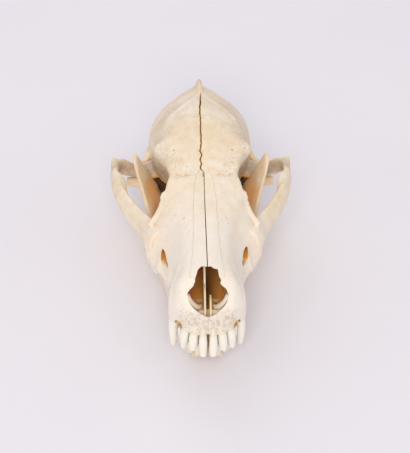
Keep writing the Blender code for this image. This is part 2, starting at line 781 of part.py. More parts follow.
def slab(bm, levels, grow):
    """The whole width of the face, from its tip to a back edge given height by height."""
    half, tip = 60, -20
    rings = []
    for z, back in levels:
        plan = ((-half, tip), (half, tip), (half, back + grow), (-half, back + grow))
        rings.append([Vector((x, y, z)) for x, y in plan])
    loft(bm, rings)


def face_region(bm, grow):
    """Everything in front of the line where the upper jaw meets the frontal bones."""
    slab(
        bm,
        (
            (-30, 96),
            (2, 95),
            (8, 92),
            (14, 84),
            (22, 79.4),
            (32, 79.4),
            (38, 83),
            (41.5, 84),
            (44.5, 81.6),
            (47, 80),
            (60, 80),
        ),
        grow,
    )


def incisor_region(bm, grow):
    """The front of the face, with the incisors and the sides of the nose opening."""
    slab(bm, ((-30, 8.6), (0, 9), (6, 11), (14, 16.4), (22, 23.4), (27, 31), (30, 36), (36, 38)), grow)


def half_space(bm, gap=BONE_GAP / 2):
    """All of the left side, up to half a gap from the middle."""
    plan = ((gap, -40), (90, -40), (90, 250), (gap, 250))
    loft(bm, [[Vector((x, y, z)) for x, y in plan] for z in (-90, 120)])


def take(whole, name, region, side=1):
    """Cuts the part of the whole that is in the region out of it as a new object."""
    piece = copy_of(whole, name)
    combine(piece, "INTERSECT", made_by("region", lambda bm: region(bm, 0), side))
    combine(whole, "DIFFERENCE", made_by("region", lambda bm: region(bm, BONE_GAP), side))
    return keep_largest(piece)


def halves(whole, name):
    sides = []
    for side, word in ((1, "left"), (-1, "right")):
        piece = copy_of(whole, name + "_" + word)
        combine(piece, "INTERSECT", made_by("region", half_space, side))
        sides.append(keep_largest(piece))
    bpy.data.objects.remove(whole)
    return sides


def build_bones():
    cranium = build_cranium()
    bones = halves(take(cranium, "nasal", nasal_region), "nasal")
    for side, word in ((1, "left"), (-1, "right")):
        bones.append(take(cranium, "zygomatic_" + word, cheek_region, side))
    face = take(cranium, "face", face_region)
    premaxillae = halves(take(face, "premaxilla", incisor_region), "premaxilla")
    maxillae = halves(face, "maxilla")
    for side, front, back in zip((1, -1), premaxillae, maxillae):
        add_teeth(front, side, UPPER_PEGS[:3], (), -1, 0)
        add_teeth(back, side, UPPER_PEGS[3:], UPPER_BLADES, -1, 0.6)
    cranium.name = "braincase"
    keep_largest(cranium)
    for side, word in ((1, "left"), (-1, "right")):
        jaw = thin_out(grow_together(made_by("mandible_" + word, add_jaw, side), 3), JAW_FACES)
        combine(jaw, "INTERSECT", made_by("region", half_space, side))
        add_teeth(jaw, side, LOWER_PEGS, LOWER_BLADES, 1, -12)
        bones.append(jaw)
    return [cranium] + bones + premaxillae + maxillae


def stand_on_floor(bones):
    """Turns the skull as it lies on its jaw, cuts the flats that it rests on, and centres it."""
    tilt = Matrix.Rotation(-math.radians(JAW_TILT), 4, "X")
    for bone in bones:
        bone.data.transform(tilt)
    low = min(v.co.z for bone in bones for v in bone.data.vertices) + FLOOR_CUT * MM
    for bone in bones:
        if bone.name.startswith("mandible"):
            bm = bmesh.new()
            size = Matrix.Translation((0, 80, low / MM - 50)) @ Matrix.Diagonal((300, 400, 100, 1))
            bmesh.ops.create_cube(bm, size=1, matrix=size)
            keep_largest(combine(bone, "DIFFERENCE", object_from("floor", bm)))
    places = [v.co for bone in bones for v in bone.data.vertices]
    middle = [(min(p[axis] for p in places) + max(p[axis] for p in places)) / 2 for axis in (0, 1)]
    for bone in bones:
        bone.data.transform(Matrix.Translation((-middle[0], -middle[1], -low)))
    return Vector((-middle[0], -middle[1], -low))


def bone_material(bone):
    made = bpy.data.materials.new("bone of the " + bone.name.replace("_", " "))
    made.use_nodes = True
    shader = made.node_tree.nodes["Principled BSDF"]
    shader.inputs["Base Color"].default_value = (0.78, 0.67, 0.48, 1)
    shader.inputs["Roughness"].default_value = 0.55
    return made


def main():
    for old in list(bpy.data.objects):
        bpy.data.objects.remove(old)
    bones = build_bones()
    moved = stand_on_floor(bones)
    group = bpy.data.collections.new("dog_skull")
    bpy.context.scene.collection.children.link(group)
    for bone in bones:
        bpy.context.scene.collection.objects.unlink(bone)
        group.objects.link(bone)
        bone.data.materials.clear()
        bone.data.materials.append(bone_material(bone))
        bone.data.shade_smooth()
    return moved


main()
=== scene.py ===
"""A dog's skull with its lower jaw closed on it, resting on a pale table in soft light.

Shapes are worked out in millimetres in the skull's own frame, which is x to the animal's left,
y back from the front of the upper incisor sockets and z up from the bony palate, and are then
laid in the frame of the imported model.
"""

import math

import bmesh
import bpy
import numpy as np
from bpy.props import FloatProperty, FloatVectorProperty, IntProperty, PointerProperty
from mathutils import Matrix, Vector, noise


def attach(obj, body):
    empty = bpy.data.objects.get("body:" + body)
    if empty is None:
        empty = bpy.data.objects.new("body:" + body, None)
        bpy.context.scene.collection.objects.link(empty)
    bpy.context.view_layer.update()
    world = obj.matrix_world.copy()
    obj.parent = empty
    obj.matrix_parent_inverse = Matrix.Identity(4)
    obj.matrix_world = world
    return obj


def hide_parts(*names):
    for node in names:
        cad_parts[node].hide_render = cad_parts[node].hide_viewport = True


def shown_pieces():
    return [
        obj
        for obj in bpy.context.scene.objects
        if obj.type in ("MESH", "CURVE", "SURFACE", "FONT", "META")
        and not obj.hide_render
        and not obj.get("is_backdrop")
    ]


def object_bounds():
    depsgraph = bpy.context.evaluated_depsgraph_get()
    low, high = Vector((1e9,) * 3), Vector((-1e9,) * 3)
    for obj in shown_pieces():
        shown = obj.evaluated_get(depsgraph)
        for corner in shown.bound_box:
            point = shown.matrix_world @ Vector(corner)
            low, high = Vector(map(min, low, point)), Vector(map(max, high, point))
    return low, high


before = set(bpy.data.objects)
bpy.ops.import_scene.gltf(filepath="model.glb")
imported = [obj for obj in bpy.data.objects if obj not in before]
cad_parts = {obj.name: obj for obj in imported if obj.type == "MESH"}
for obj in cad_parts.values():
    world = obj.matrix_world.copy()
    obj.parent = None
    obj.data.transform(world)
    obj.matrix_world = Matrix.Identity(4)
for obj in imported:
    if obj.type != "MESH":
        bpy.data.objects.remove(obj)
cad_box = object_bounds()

bl_info = {
    "name": "Dog skull",
    "version": (1, 0, 0),
    "blender": (4, 5, 0),
    "location": "3D View > Sidebar > Skull",
    "description": "Builds the bones and teeth of a dog's skull on a lit table",
    "category": "Add Mesh",
}

MM = 0.001
# Where the skull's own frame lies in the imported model, in millimetres
PLACE = (-0.024, -83.956, 32.22)
JAW_TILT = 3.0  # degrees that the nose points up when the jaw rests on a table
BODY = "root"

NASAL_DEPTH = 3.4
ROOF_THICKNESS = 2.4
CAVITY_SHOULDER = 9.5
SEPTUM_THICKNESS = 1.0
RIGHT_CANAL_DROP = 2.0

SIDES = ((1, "left"), (-1, "right"))
SOFTENING = 8  # rounds of smoothing after the forms of a bone have grown together
JAW_GRAIN = 0.85  # cells of the lower jaw over those of the upper bones
JAW_SEAM = 0.3  # gap between the two halves of the lower jaw
# Height at which the teeth leave the bone
UPPER_SOCKETS = 0.4
INCISOR_NECKS = 0.8
UPPER_NECKS = 0.6
LOWER_NECKS = -12
# Yellow at the neck of a tooth: how high it goes and how strong it is
NECK_HEIGHT = 2.0
NECK_STAIN = 0.6
# Rim round a tooth: how far outside it along and across the row, width, height and points
RIM_ALONG = 0.6
RIM_ACROSS = 0.9
RIM_WIDTH = 1.3
RIM_HEIGHT = 0.35
RIM_POINTS = 12
# Unevenness of grown bone: turns of the noise per millimetre, and the share of the finer one
COARSE_WAVE = 0.16
FINE_WAVE = 0.42
FINE_SHARE = 0.5
# Run of the jagged seams: turns of the noise per millimetre, and its layer
JAG_PITCH = 0.55
JAG_LAYER = 3.7
# Open seam in the forehead: stray to either side, stray of its width, least half width, height of
# the wedge that cuts it over the bone, and reach, margin and strength of its stain
CRACK_STRAY = 0.4
CRACK_WIDTH_STRAY = 0.12
CRACK_LEAST = 0.08
CRACK_ABOVE = 3.0
CRACK_REACH = 2.4
CRACK_MARGIN = 0.42
CRACK_STAIN = 1.9
# How strongly a bend in the surface shows (a warmer ridge, a hollow painted as shade), how often
# it is evened out, and how soon a surface that is turned to a stain or painted shade takes it
BEND_GAIN = 4.0
BEND_ROUNDS = 2
TURN_GAIN = 2.5
# Angle in degrees over which an edge is drawn sharp
BONE_CREASE = 48
TOOTH_CREASE = 60
# The stage in metres
TABLE_REACH = 4.0
KEY_PLACE = (-0.2, -1.75, 1.5)
KEY_SIZE = 1.0
FILL_PLACE = (-0.3, 1.2, 1.0)
FILL_SIZE = 0.9
LIT_PLACE = (0, 0, 0.04)

# Sections across the skull from front to back: y, lean of the section in y per mm of height
# over LEAN_LEVEL, and the left half of the outline from the palate's middle round to the crown
LEAN_LEVEL = 20.0
SECTIONS = (
    (0.3, 0, ((0, -0.4), (4.5, -0.8), (8, 0.4), (8.3, 1.8), (8, 2.8), (7, 3.6), (4.5, 4.2), (0, 4))),
    (3, 0, ((0, -0.4), (7.5, -1), (12, 0.2), (12.4, 3), (12, 5.5), (10.8, 7.5), (8, 8.6), (0, 8))),
    (7, 0, ((0, -0.2), (10, -1), (15.4, 0), (16, 4), (15.2, 8.5), (13.8, 11.8), (11, 13.8), (0, 13.8))),
    (12, 0, ((0, 0), (12.5, -0.8), (18.4, 0), (19.2, 5), (18.2, 11), (16, 16.5), (12.5, 20), (0, 21))),
    (17, 0, ((0, 0), (13, -0.8), (20, 0.2), (20.3, 6), (19.2, 13), (16.6, 20), (12.4, 24.8), (0, 26.8))),
    (
        22, 0,
        ((0, 0.2), (12, -0.6), (19.2, 0.4), (19.6, 7), (18.8, 14.5), (15.6, 21.5), (11.2, 26.8), (0, 29.8)),
    ),
    (
        30, 0,
        ((0, 0.6), (11.5, -0.4), (17.8, 0.6), (17.8, 7.5), (16.8, 15), (14.2, 22), (10.2, 28), (0, 31.6)),
    ),
    (40, 0, ((0, 1), (13, -0.2), (19.8, 0.4), (18.8, 7.5), (17.4, 15), (14.6, 23), (10.6, 30), (0, 33.6))),
    (50, 0, ((0, 1.4), (17, 0), (24.6, 0), (22.8, 7), (20.6, 14.5), (16.4, 23.5), (11.4, 32), (0, 35.6))),
    (58, 0, ((0, 1.6), (21, 0), (29.4, 0), (27.4, 6.5), (24.4, 14.5), (19, 24.5), (12.8, 34), (0, 37.4))),
    (65, 0, ((0, 1.8), (23, 0), (31.2, 0.2), (32, 8.4), (29.6, 16), (23, 25.5), (14.8, 36), (0, 39.2))),
    (70, 0, ((0, 2), (22.5, 0), (31, 0.4), (31.8, 8), (29, 15.6), (24.2, 27.4), (16.4, 38), (0, 40.8))),
    (75, 0, ((0, 2.2), (21, 0), (30, 0.5), (29, 6), (19.5, 15), (22.8, 34.8), (16.2, 40.8), (0, 42.8))),
    (80, 0, ((0, 2.4), (19, 0), (27.6, 0.6), (24, 5.4), (15.5, 16), (20.8, 39.2), (14.5, 43.6), (0, 45))),
    (
        85, 0,
        ((0, 2.8), (16, 0.2), (26, 0.8), (22, 5.6), (14, 17), (18.9, 42.2), (12.6, 46.4), (0, 47.6)),
    ),
    (90, 0, ((0, 4), (11, 1.6), (22, 1.8), (17, 6.5), (13, 19), (20.4, 45), (13.6, 49.6), (0, 50.2))),
    (95, 0, ((0, 6), (8, 3.4), (13, 4.6), (12.4, 9.5), (12.6, 21), (21.8, 46), (15.2, 51), (0, 53))),
    (99, 0, ((0, 7), (6, 5.2), (10, 6.4), (11.8, 11), (13.2, 23), (24, 46.8), (15.6, 52.8), (0, 55))),
    (103, 0, ((0, 8), (6, 6.6), (10.4, 7.8), (12.4, 13), (14.4, 25), (27.6, 46.6), (16, 54), (0, 56.8))),
    (
        108, 0,
        ((0, 8.6), (6.5, 7.4), (11.2, 8.6), (14, 14), (17, 27), (25.4, 45.6), (16.2, 55), (0, 58.6)),
    ),
    (
        114, 0,
        ((0, 8.4), (8, 7.2), (13.8, 8.8), (18.4, 14.5), (21.2, 26), (24, 44), (16.4, 55.4), (0, 60)),
    ),
    (
        121, 0,
        ((0, 7.6), (10, 6.6), (18, 8.2), (24, 14.5), (26.4, 26), (25.4, 42.6), (16.8, 54.6), (0, 60.8)),
    ),
    (
        130, 0,
        ((0, 6.6), (12, 6), (22, 8.2), (27.4, 15.5), (29, 26.4), (27, 40.6), (17, 53.2), (0, 60.4)),
    ),
    (
        138, 0.02,
        ((0, 6.4), (13, 6), (24, 8.6), (28.4, 16.5), (29.4, 26.4), (26.4, 39), (16.2, 50.8), (0, 58.4)),
    ),
    (144, 0.15, ((0, 6.8), (13, 6.6), (24, 9), (28.8, 16), (29.4, 25.4), (26, 37), (16, 48), (0, 56))),
    (148, 0.42, ((0, 8), (13, 7.6), (24, 9.6), (29, 15), (30, 23), (26.4, 33.6), (17, 43), (0, 51.4))),
)
OCCIPUT_RINGS = ((0.9, 26, 149.5, 0.32), (0.62, 23, 155.6, 0.14), (0.32, 20, 158.4, 0.05))
SECTION_STEP = 1.6
OUTLINE_STEPS = 5

# Middle line of the cheek arch from the face back to the braincase
ARCH_PATH = (
    (26.4, 62.5, 12.8),
    (30.2, 69, 13.2),
    (33, 76, 13.2),
    (38.4, 85, 13.8),
    (43.2, 94, 15),
    (47.8, 105, 16.8),
    (50, 116, 17.8),
    (50, 123, 18.6),
    (47.4, 128.6, 18),
    (42, 130.8, 13.6),
    (36, 131.4, 12),
    (27, 132, 12.4),
)

# Nasal cavity: y, half width low down, widest half width, height of the floor and of the
# widest line
CAVITY = (
    (9, 4, 7, 8, 12),
    (14, 6.5, 10.4, 6.6, 15),
    (20, 8, 12, 6, 17),
    (32, 8.5, 12, 5.5, 16),
    (46, 9.5, 13.5, 5.5, 16),
    (58, 9, 12, 7, 18),
    (64, 4, 6, 11, 19),
)

# Edge of the nose opening, from the tip of the nasal bones down the left side to its floor
NOSE_OPENING = (
    (0, 20.4, 30),
    (4, 20, 29.4),
    (6, 18.6, 28),
    (6.8, 15.6, 25.4),
    (7.5, 13.4, 23.6),
    (10.3, 11, 21.2),
    (10.8, 9.4, 18.6),
    (9, 7.6, 14.6),
    (5.6, 6.2, 10.8),
    (2.6, 5.6, 8.8),
    (0, 5.4, 8),
)
# Distance from the middle and outline in y and z of the plates in the nose
SEPTUM_PLATES = (
    (-1.4, ((7.6, 5), (8.6, 8.4), (20, 18.6), (30, 27.4), (34, 31), (58, 33), (60, 5))),
    (1.6, ((7.6, 5), (8.6, 8.4), (16, 14), (20, 11), (23, 5))),
)

# The ramus of the lower jaw as slices from its lower edge to the coronoid tip: height, front edge,
# back edge, distance from the middle, thickness, and how much its back edge turns to the middle
RAMUS = (
    (-27.4, 88, 104, 24.6, 3.4, -0.16),
    (-26, 83, 116, 25, 4.8, -0.16),
    (-23.5, 81, 127, 25.8, 5, -0.14),
    (-20, 80, 130, 26.4, 4.8, -0.1),
    (-16, 79, 126, 26.4, 4.6, -0.06),
    (-10, 79.5, 122, 26.6, 4.8, 0),
    (-4, 83.5, 121, 27.2, 4.8, 0.06),
    (2, 88, 125, 27.6, 5.2, 0.12),
    (8, 93, 125, 28.6, 5, 0.13),
    (14, 98.6, 122.4, 31.2, 4, 0.13),
    (20, 105, 123, 33.8, 3.6, 0.12),
    (26, 112, 124.6, 36.8, 3, 0.1),
    (30, 117.6, 124.8, 38.4, 2.4, 0.1),
)
JAW_LEAN = 0.24  # how much the lower edge of the body lies nearer the middle
# The body of the lower jaw: y, distance from the middle, height, thickness and depth
JAW_BODY = (
    (3, 4.2, -16, 8.4, 4.4),
    (8, 5.2, -16.6, 10, 6.8),
    (16, 7.4, -18.8, 14.6, 13),
    (25, 8.4, -20.2, 14.6, 16),
    (30, 9.8, -20.4, 10.6, 16.4),
    (38, 11.8, -20.4, 8.2, 16.6),
    (48, 14.6, -20.2, 8.2, 17),
    (60, 17.6, -19.8, 8.4, 17.6),
    (72, 21, -19, 8, 18.4),
    (83, 24, -18, 6.8, 19),
    (92, 25.4, -16.6, 5, 19),
    (101, 26, -16, 3.2, 16),
)

# Teeth that are blades: y, x, turn in degrees, length, width, root, and heights along the length
UPPER_BLADES = (
    (25.4, 16.3, 84, 5.4, 3.6, 6, (1.5, 4.2, 1.6)),
    (35.6, 17.2, 86, 9.6, 4.2, 7, (1.4, 6.2, 2.6, 2.2)),
    (47.6, 20.6, 70, 11, 4.6, 7, (1.6, 7, 3.2, 3)),
    (65, 27.8, 71, 18.6, 6.4, 7, (3, 8.2, 10, 4.8, 6.4, 3)),
    (57.8, 24, 40, 5.5, 4.6, 5, (1, 3.6, 1.4)),
    (78.6, 25, -8, 13.4, 11, 5, (2.2, 3, 3.4, 5.4, 3.4)),
    (87.6, 22.2, -6, 9.6, 6.4, 4, (1.4, 2.2, 3.6, 2)),
)
LOWER_BLADES = (
    (22.6, 11.4, 84, 4.2, 3.2, 5, (1, 3, 1.2)),
    (30.6, 12, 80, 8, 3.8, 6, (1.4, 4.8, 2)),
    (41, 14.2, 75, 9.4, 4.2, 6, (1.4, 5.6, 2.8, 2)),
    (52.6, 17.4, 74, 10.6, 4.6, 6, (1.8, 6.4, 4, 2.4)),
    (68, 21.2, 73, 19.4, 6.4, 7, (3.4, 7.4, 8.6, 5, 4.4, 3.6)),
    (82.2, 24.2, 76, 8, 5.6, 5, (2.4, 3.4, 2.6)),
    (89, 25.6, 80, 4.4, 4, 4, (1.4, 2, 1.4)),
)
# Teeth that are curved cones: path from root to tip as (x, y, z), then width across and along
UPPER_PEGS = (
    (
        ((2.6, 5, 6), (2.7, 0.8, 1), (2.75, -2.2, -5), (2.7, -4, -12.2)),
        (3, 3.8, 4.7, 3.2), (4, 4.4, 4.2, 1.8),
    ),
    (
        ((6.4, 6, 6), (7.3, 2.4, 1), (7.9, 0, -4.5), (8.1, -1.2, -10.2)),
        (3.2, 4.2, 5.2, 3.2), (4, 4.6, 4.4, 1.8),
    ),
    (
        ((9.6, 7.4, 6), (11.6, 5.2, 1), (12.6, 3.4, -5), (13, 2.2, -11.4)),
        (3.4, 4.6, 5, 2.8), (4, 5, 5.2, 2),
    ),
    (
        ((16, 24, 9), (17.2, 18, 1), (18.1, 14.8, -8), (18.2, 13.8, -19.4)),
        (5, 6, 5.8, 2.6), (7, 8.2, 6.4, 2.6),
    ),
)
LOWER_PEGS = (
    (
        ((1.9, 6.4, -18), (1.9, 2.2, -15.5), (1.9, 1.4, -12), (1.9, 1.2, -8.4)),
        (2.2, 2.8, 3.4, 2.6), (3, 3.6, 3, 1.6),
    ),
    (
        ((4.8, 7.6, -18.2), (5.2, 2.8, -15.5), (5.6, 2.2, -12), (5.8, 2, -8)),
        (2.4, 3.2, 3.8, 2.6), (3, 3.8, 3.2, 1.6),
    ),
    (
        ((7.4, 10.5, -18.5), (8.6, 5.4, -15.5), (9.4, 4.2, -11.5), (9.7, 3.8, -7.8)),
        (2.8, 3.6, 4, 2.4), (3.4, 4, 3.4, 1.6),
    ),
    (
        ((9.5, 20, -23), (11.4, 13, -15), (13.8, 9, -8), (15.2, 8.4, -1.4)),
        (4.4, 5.4, 4.2, 1.4), (6.5, 7.4, 4.6, 1.6),
    ),
)
BLADE_SHAPE = (
    (-0.34, -1.0),
    (-0.5, 0.0),
    (-0.5, 0.42),
    (-0.12, 1.0),
    (0.12, 1.0),
    (0.5, 0.42),
    (0.5, 0.0),
    (0.34, -1.0),
)

# The open seam along the middle of the forehead: y, x, and how wide it gapes
CRACK = (
    (80, -0.5, 0.4),
    (84, -0.8, 0.35),
    (86, -1.9, 0.35),
    (88, -1.1, 0.4),
    (90.4, -2.0, 0.35),
    (92.6, -1.0, 0.4),
    (94.8, -1.7, 0.35),
    (99, -1.1, 0.3),
    (103.4, -1.0, 0.4),
    (108, -1.1, 0.2),
    (114, -1.0, 0.2),
    (122, -1.0, 0.35),
    (129, -0.7, 0.65),
    (135, -0.4, 0.55),
    (139, -0.3, 0.3),
    (142, 0.0, 0.15),
)

# Raised and sunken lines on the left of the upper skull, mirrored on the right: path, width and
# height
REAR_LINE = (
    (2.4, 143, 58),
    (4.8, 138.6, 57.4),
    (8.2, 135.6, 56.6),
    (11.5, 132, 55.6),
    (15.4, 128.2, 53.3),
    (18.1, 125.3, 51.1),
)
FRONT_LINE = ((18.1, 125.3, 51.1), (20.4, 119, 48.4), (22.6, 109, 47), (25, 102, 46))
CORONAL_SUTURE = (
    (0.4, 119, 60.6),
    (5, 117.6, 59.4),
    (10, 119, 57.2),
    (14, 116.6, 54),
    (19, 115, 48),
    (21.6, 113.6, 42),
)
UPPER_RELIEFS = (
    (REAR_LINE, 1.7, 0.5),
    (FRONT_LINE, 2, 0.16),
    (((5, 146, 54.6), (9.6, 141.4, 53.6), (15, 136, 50.6), (19.4, 131, 47.4), (22, 124, 45)), 3.4, -0.45),
    (((18.4, 13.6, 1), (18.4, 16, 8), (17, 23, 15), (14.6, 31, 20.5)), 5, 0.9),
    (((27, 52, 2), (25, 54, 10)), 3, 0.6),
    (((30, 64, 2), (29, 65, 9)), 3, 0.7),
    (((17.8, 31, 1), (17.2, 32, 7)), 2.2, 0.4),
    (((18.6, 36.4, 1), (17.8, 36.4, 7)), 2.2, 0.4),
    (((19.6, 42, 1), (18.6, 42.6, 7)), 2.2, 0.45),
    (((21, 47, 1), (20, 47.6, 6)), 2.2, 0.45),
    (((20.4, 45, 8), (18.6, 36, 12)), 6, -0.55),
    (((0, 24, 30), (0, 50, 35.6), (0, 76, 43)), 4.5, -0.35),
    (((0, 86, 48), (0, 97, 54), (0, 108, 58.6)), 7, -0.5),
    (((2.3, 1.2, 0), (2.5, 2.6, 5.4)), 1.5, 0.4),
    (((7, 2.4, 0), (6.8, 4, 5.8)), 1.6, 0.4),
    (((11.4, 5, 0), (11, 6.6, 6.6)), 1.8, 0.45),
    (((4.7, 1.6, 1), (4.7, 3.4, 6)), 1.1, -0.4),
    (((9.4, 3.6, 1), (9, 5.4, 6)), 1.1, -0.4),
    (((23, 75.4, 37), (23.8, 74.4, 35)), 1.7, 0.9),
    (((21.4, 78.6, 40.6), (22.4, 77.4, 39)), 1.2, -0.4),
    (((9, 163, 37), (12.4, 159, 28)), 6, -1.2),
    (((17, 157.4, 34), (21, 153.6, 26)), 5, -0.9),
    (((3, 161, 30.6), (12, 158, 26), (19, 153, 22)), 1.8, 0.5),
    (((5, 150, 3), (6, 138, 3)), 2.6, 0.7),
    (((1.2, 24, 0.2), (1.2, 50, 1.4), (1.2, 82, 2.8)), 1.4, -0.25),
    (((12, 44, 0), (11, 60, 0.6), (10.6, 66, 1.6)), 1.4, -0.45),
    (((9, 18, 0), (8, 28, 0)), 2, -0.3),
    (((17.4, 132, -3), (17, 144, -3)), 3, 0.4),
    (((12, 128, 5), (10.6, 138, 3)), 1.4, -0.7),
    (CORONAL_SUTURE, 0.9, -0.22),
    (((27, 117, 26), (28.4, 124, 33), (29, 132, 36), (29.2, 140, 33), (29, 146, 26)), 1.1, -0.4),
    (((17, 110, 30), (20.6, 113, 26), (22, 118, 19)), 1.1, -0.35),
    (((24.6, 72.4, 30), (21, 78, 28), (17, 84, 26)), 0.9, -0.25),
    (((44, 95, 20), (46.4, 102, 20.6)), 3, -0.3),
    (((41, 88, 9), (46.8, 100, 11)), 2.4, -0.5),
)
# Small openings on the left of the upper skull: place, width, depth
UPPER_PITS = (
    ((14.6, 103, 15), 2.2, 2.6),
    ((15.6, 107.6, 13), 2.0, 2.4),
    ((17, 111.6, 11.4), 1.8, 2.2),
    ((12.6, 88, 10), 1.8, 2.2),
    ((24.4, 74.4, 30), 1.5, 2.0),
    ((11, 66.4, 1.4), 1.3, 1.6),
    ((10, 72, 2), 0.9, 1.2),
    ((13, 120, 7), 1.8, 2.0),
    ((12, 148.4, 8), 1.6, 2.0),
    ((11, 146, 5.6), 1.3, 1.6),
    ((23, 146, 8), 1.2, 1.6),
    ((37, 136, 10), 1.2, 1.5),
    ((7.4, 160, 40), 0.8, 0.9),
    ((12, 57, 34.4), 0.7, 0.8),
    ((16.4, 96.5, 51.6), 0.8, 0.9),
    ((15.2, 7, 0), 2.2, 2.6),
)
# Pores that stand out on one side only, with their own sign of x: place, width, depth
SINGLE_PITS = (
    ((-19.8, 114.3, 45.9), 1.0, 1.3),
    ((-36.2, 76, 13.5), 0.9, 0.9),
    ((-16.2, 62, 32), 0.7, 0.7),
    ((13.4, 54, 33), 0.7, 0.7),
    ((-9, 86.6, 47), 0.8, 0.6),
    ((14.6, 83, 44.6), 0.8, 0.7),
    ((-13, 82, 44.8), 0.7, 0.6),
)
LOWER_RELIEFS = (
    (((30.6, 114, 10), (29, 113, 0), (28.6, 108, -8)), 9, -1.1),
    (((28, 97, -11), (29, 104, -15), (28.8, 114, -18)), 2.4, 0.5),
    (((31, 119, -3), (31.6, 121, 4)), 2.6, 0.6),
    (((31.4, 98, 12), (34, 104.5, 20), (37, 111, 26)), 1.6, 0.4),
    (((18, 60, -24), (23, 80, -23)), 3, 0.3),
    (((9, 24, -26), (12, 40, -27)), 2, 0.3),
    (((22.4, 96, -6), (23, 100, -12)), 3, -0.6),
    (((23.6, 108, -16), (24, 120, -18)), 5, -0.6),
    (((25, 112, 4), (25, 121, 0)), 6, 1.2),
)
LOWER_PITS = (
    ((13.4, 26, -19), 1.4, 1.8),
    ((15, 36, -20), 1.1, 1.4),
    ((8, 9, -17), 0.8, 0.8),
    ((23.6, 103, -4), 1.9, 2.2),
)

FRONTAL_SUTURE = (
    (3, 81, 46.4),
    (6, 80.2, 46),
    (9, 82, 45.6),
    (12, 80.6, 45.2),
    (15, 82.6, 44.6),
    (18, 84, 44),
)
# Where the bone is discoloured, or painted darker as shade, on both sides: path, reach, strength, and
# whether only the surfaces that look towards the path take it
STAINS_AND_PAINTED_SHADE = (
    (((0, 27, 19), (0, 40, 18), (0, 62, 18)), 16.5, 1.0, True),
    (((0, 14, 5), (0, 24, 5), (0, 60, 8)), 4, 1.5, False),
    (((0, 15, 3), (0, 26, 5)), 1.6, 0.9, False),
    (((22, 53, 11.8), (21.6, 62, 12.8), (22.2, 84, 12.2)), 4.4, 1.1, True),
    (((5.2, 16.6, 5), (5.2, 16.6, 0)), 5, 0.7, True),
    (((14.4, 6, 2.4), (15, 7, -2)), 3.2, 1.5, False),
    (((0, 1.4, -1), (5, 2, -1.2), (9.6, 3.8, -1), (13, 6.6, -0.6)), 1.9, 0.7, False),
    # Painted shade, not stain: dark brown on the base of the skull and under the braincase behind the eye,
    # which lie in the shade between the skull and the lower jaw
    (((19, 104, 2), (21, 114, 3), (21.6, 126, 4)), 12, 2.4, False),
    (((17.4, 96, 12), (19, 104, 8)), 10, 0.7, False),
    (((0, 140, 21), (0, 158, 17)), 13, 0.65, True),
    (((29, 142, 9.4), (22, 140, 8)), 6, 1.0, True),
    (((0, 92, 3), (0, 110, 1)), 9, 0.6, True),
    (FRONTAL_SUTURE, 0.8, 0.6, False),
    (((26, 128, 5), (43, 129, 6)), 4, 0.5, False),
    (((10, 60, 0), (12, 80, 1)), 8, 0.25, False),
)
# Grey on both sides: painted shade on the side wall of the braincase behind the eye, on the root of the
# cheek arch and in the band inside the edge of the crown; the bone's own greyish colour on the front of the
# incisor bones
GREYS_AND_PAINTED_SHADE = (
    (((25, 113, 20), (27.4, 122, 21), (28, 126, 16)), 10, 1.0, False),
    (((17, 98, 30), (19, 106, 24)), 9, 0.5, False),
    (((48, 123.6, 20), (44, 127.4, 16), (36, 129.4, 13.5)), 6, 1.0, False),
    (((0, 2, 7), (7, 3, 7), (10, 4.4, 7)), 6, 0.3, False),
    (((16, 138, 50), (22, 130, 46), (25, 120, 42)), 9, 0.3, False),
)
POROUS = (
    (((0, 1.4, 6), (6, 2, 6), (11, 4.4, 7)), 8, 1.3, False),
    (((8, 82, 45), (14, 82, 44.6), (19, 84, 44)), 3.5, 0.8, False),
    (((17, 88, 47), (23, 94, 47), (24, 104, 47), (20, 112, 49)), 8, 1.0, False),
    (((25, 113, 20), (27.4, 122, 21)), 12, 1.3, False),
    (((46, 104, 20), (50, 118, 20)), 5, 0.5, False),
    (((0, 162, 50), (20, 154, 40)), 6, 0.5, False),
)
# Where the lower jaw is discoloured, or painted darker as shade: path, reach, strength, and whether only
# the surfaces that look towards the path take it
JAW_STAINS_AND_PAINTED_SHADE = (
    # Amber on the inner face of the coronoid process: partly stain, partly painted shade
    (((22, 94, 0), (24, 106, 8), (29, 117, 18)), 13, 0.3, True),
    (((0, 10, -14), (0, 30, -20)), 9, 0.5, True),
    # Painted shadow on the front of the lower jaw, under the upper incisors
    (((0, 1.5, -13.4), (6, 3, -13.4), (11, 6, -13)), 2.0, 0.8, False),
    (((27, 128, 5), (43, 129, 6)), 3.6, 0.25, False),
    # Painted shade on the inner face of the ramus, deep behind the cheek teeth
    (((19, 90, -6), (20, 102, 2), (23, 108, 10)), 13, 0.8, True),
    (((0, 60, -24), (0, 80, -24)), 26, 0.3, True),
)
JAW_GREYS = ((((0, 1, -14), (8, 4, -15)), 5, 0.6, False),)
JAW_POROUS = (
    (((0, 1, -15), (9, 5, -17)), 7, 1.0, False),
    (((27, 110, -20), (27, 130, -20)), 8, 0.5, False),
)


def linear(code):
    """A colour written as an sRGB hex value, as linear red, green and blue."""
    parts = [int(code[n : n + 2], 16) / 255 for n in (0, 2, 4)]
    return tuple(v / 12.92 if v <= 0.04045 else ((v + 0.055) / 1.055) ** 2.4 for v in parts)


def metres(name, description, default):
    """A setting that is a length in metres."""
    return FloatProperty(name=name, description=description, default=default, unit="LENGTH")


def hue(name, description, code):
    """A setting that is a colour, from its sRGB hex value."""
    return FloatVectorProperty(
        name=name, description=description, default=linear(code), subtype="COLOR"
    )


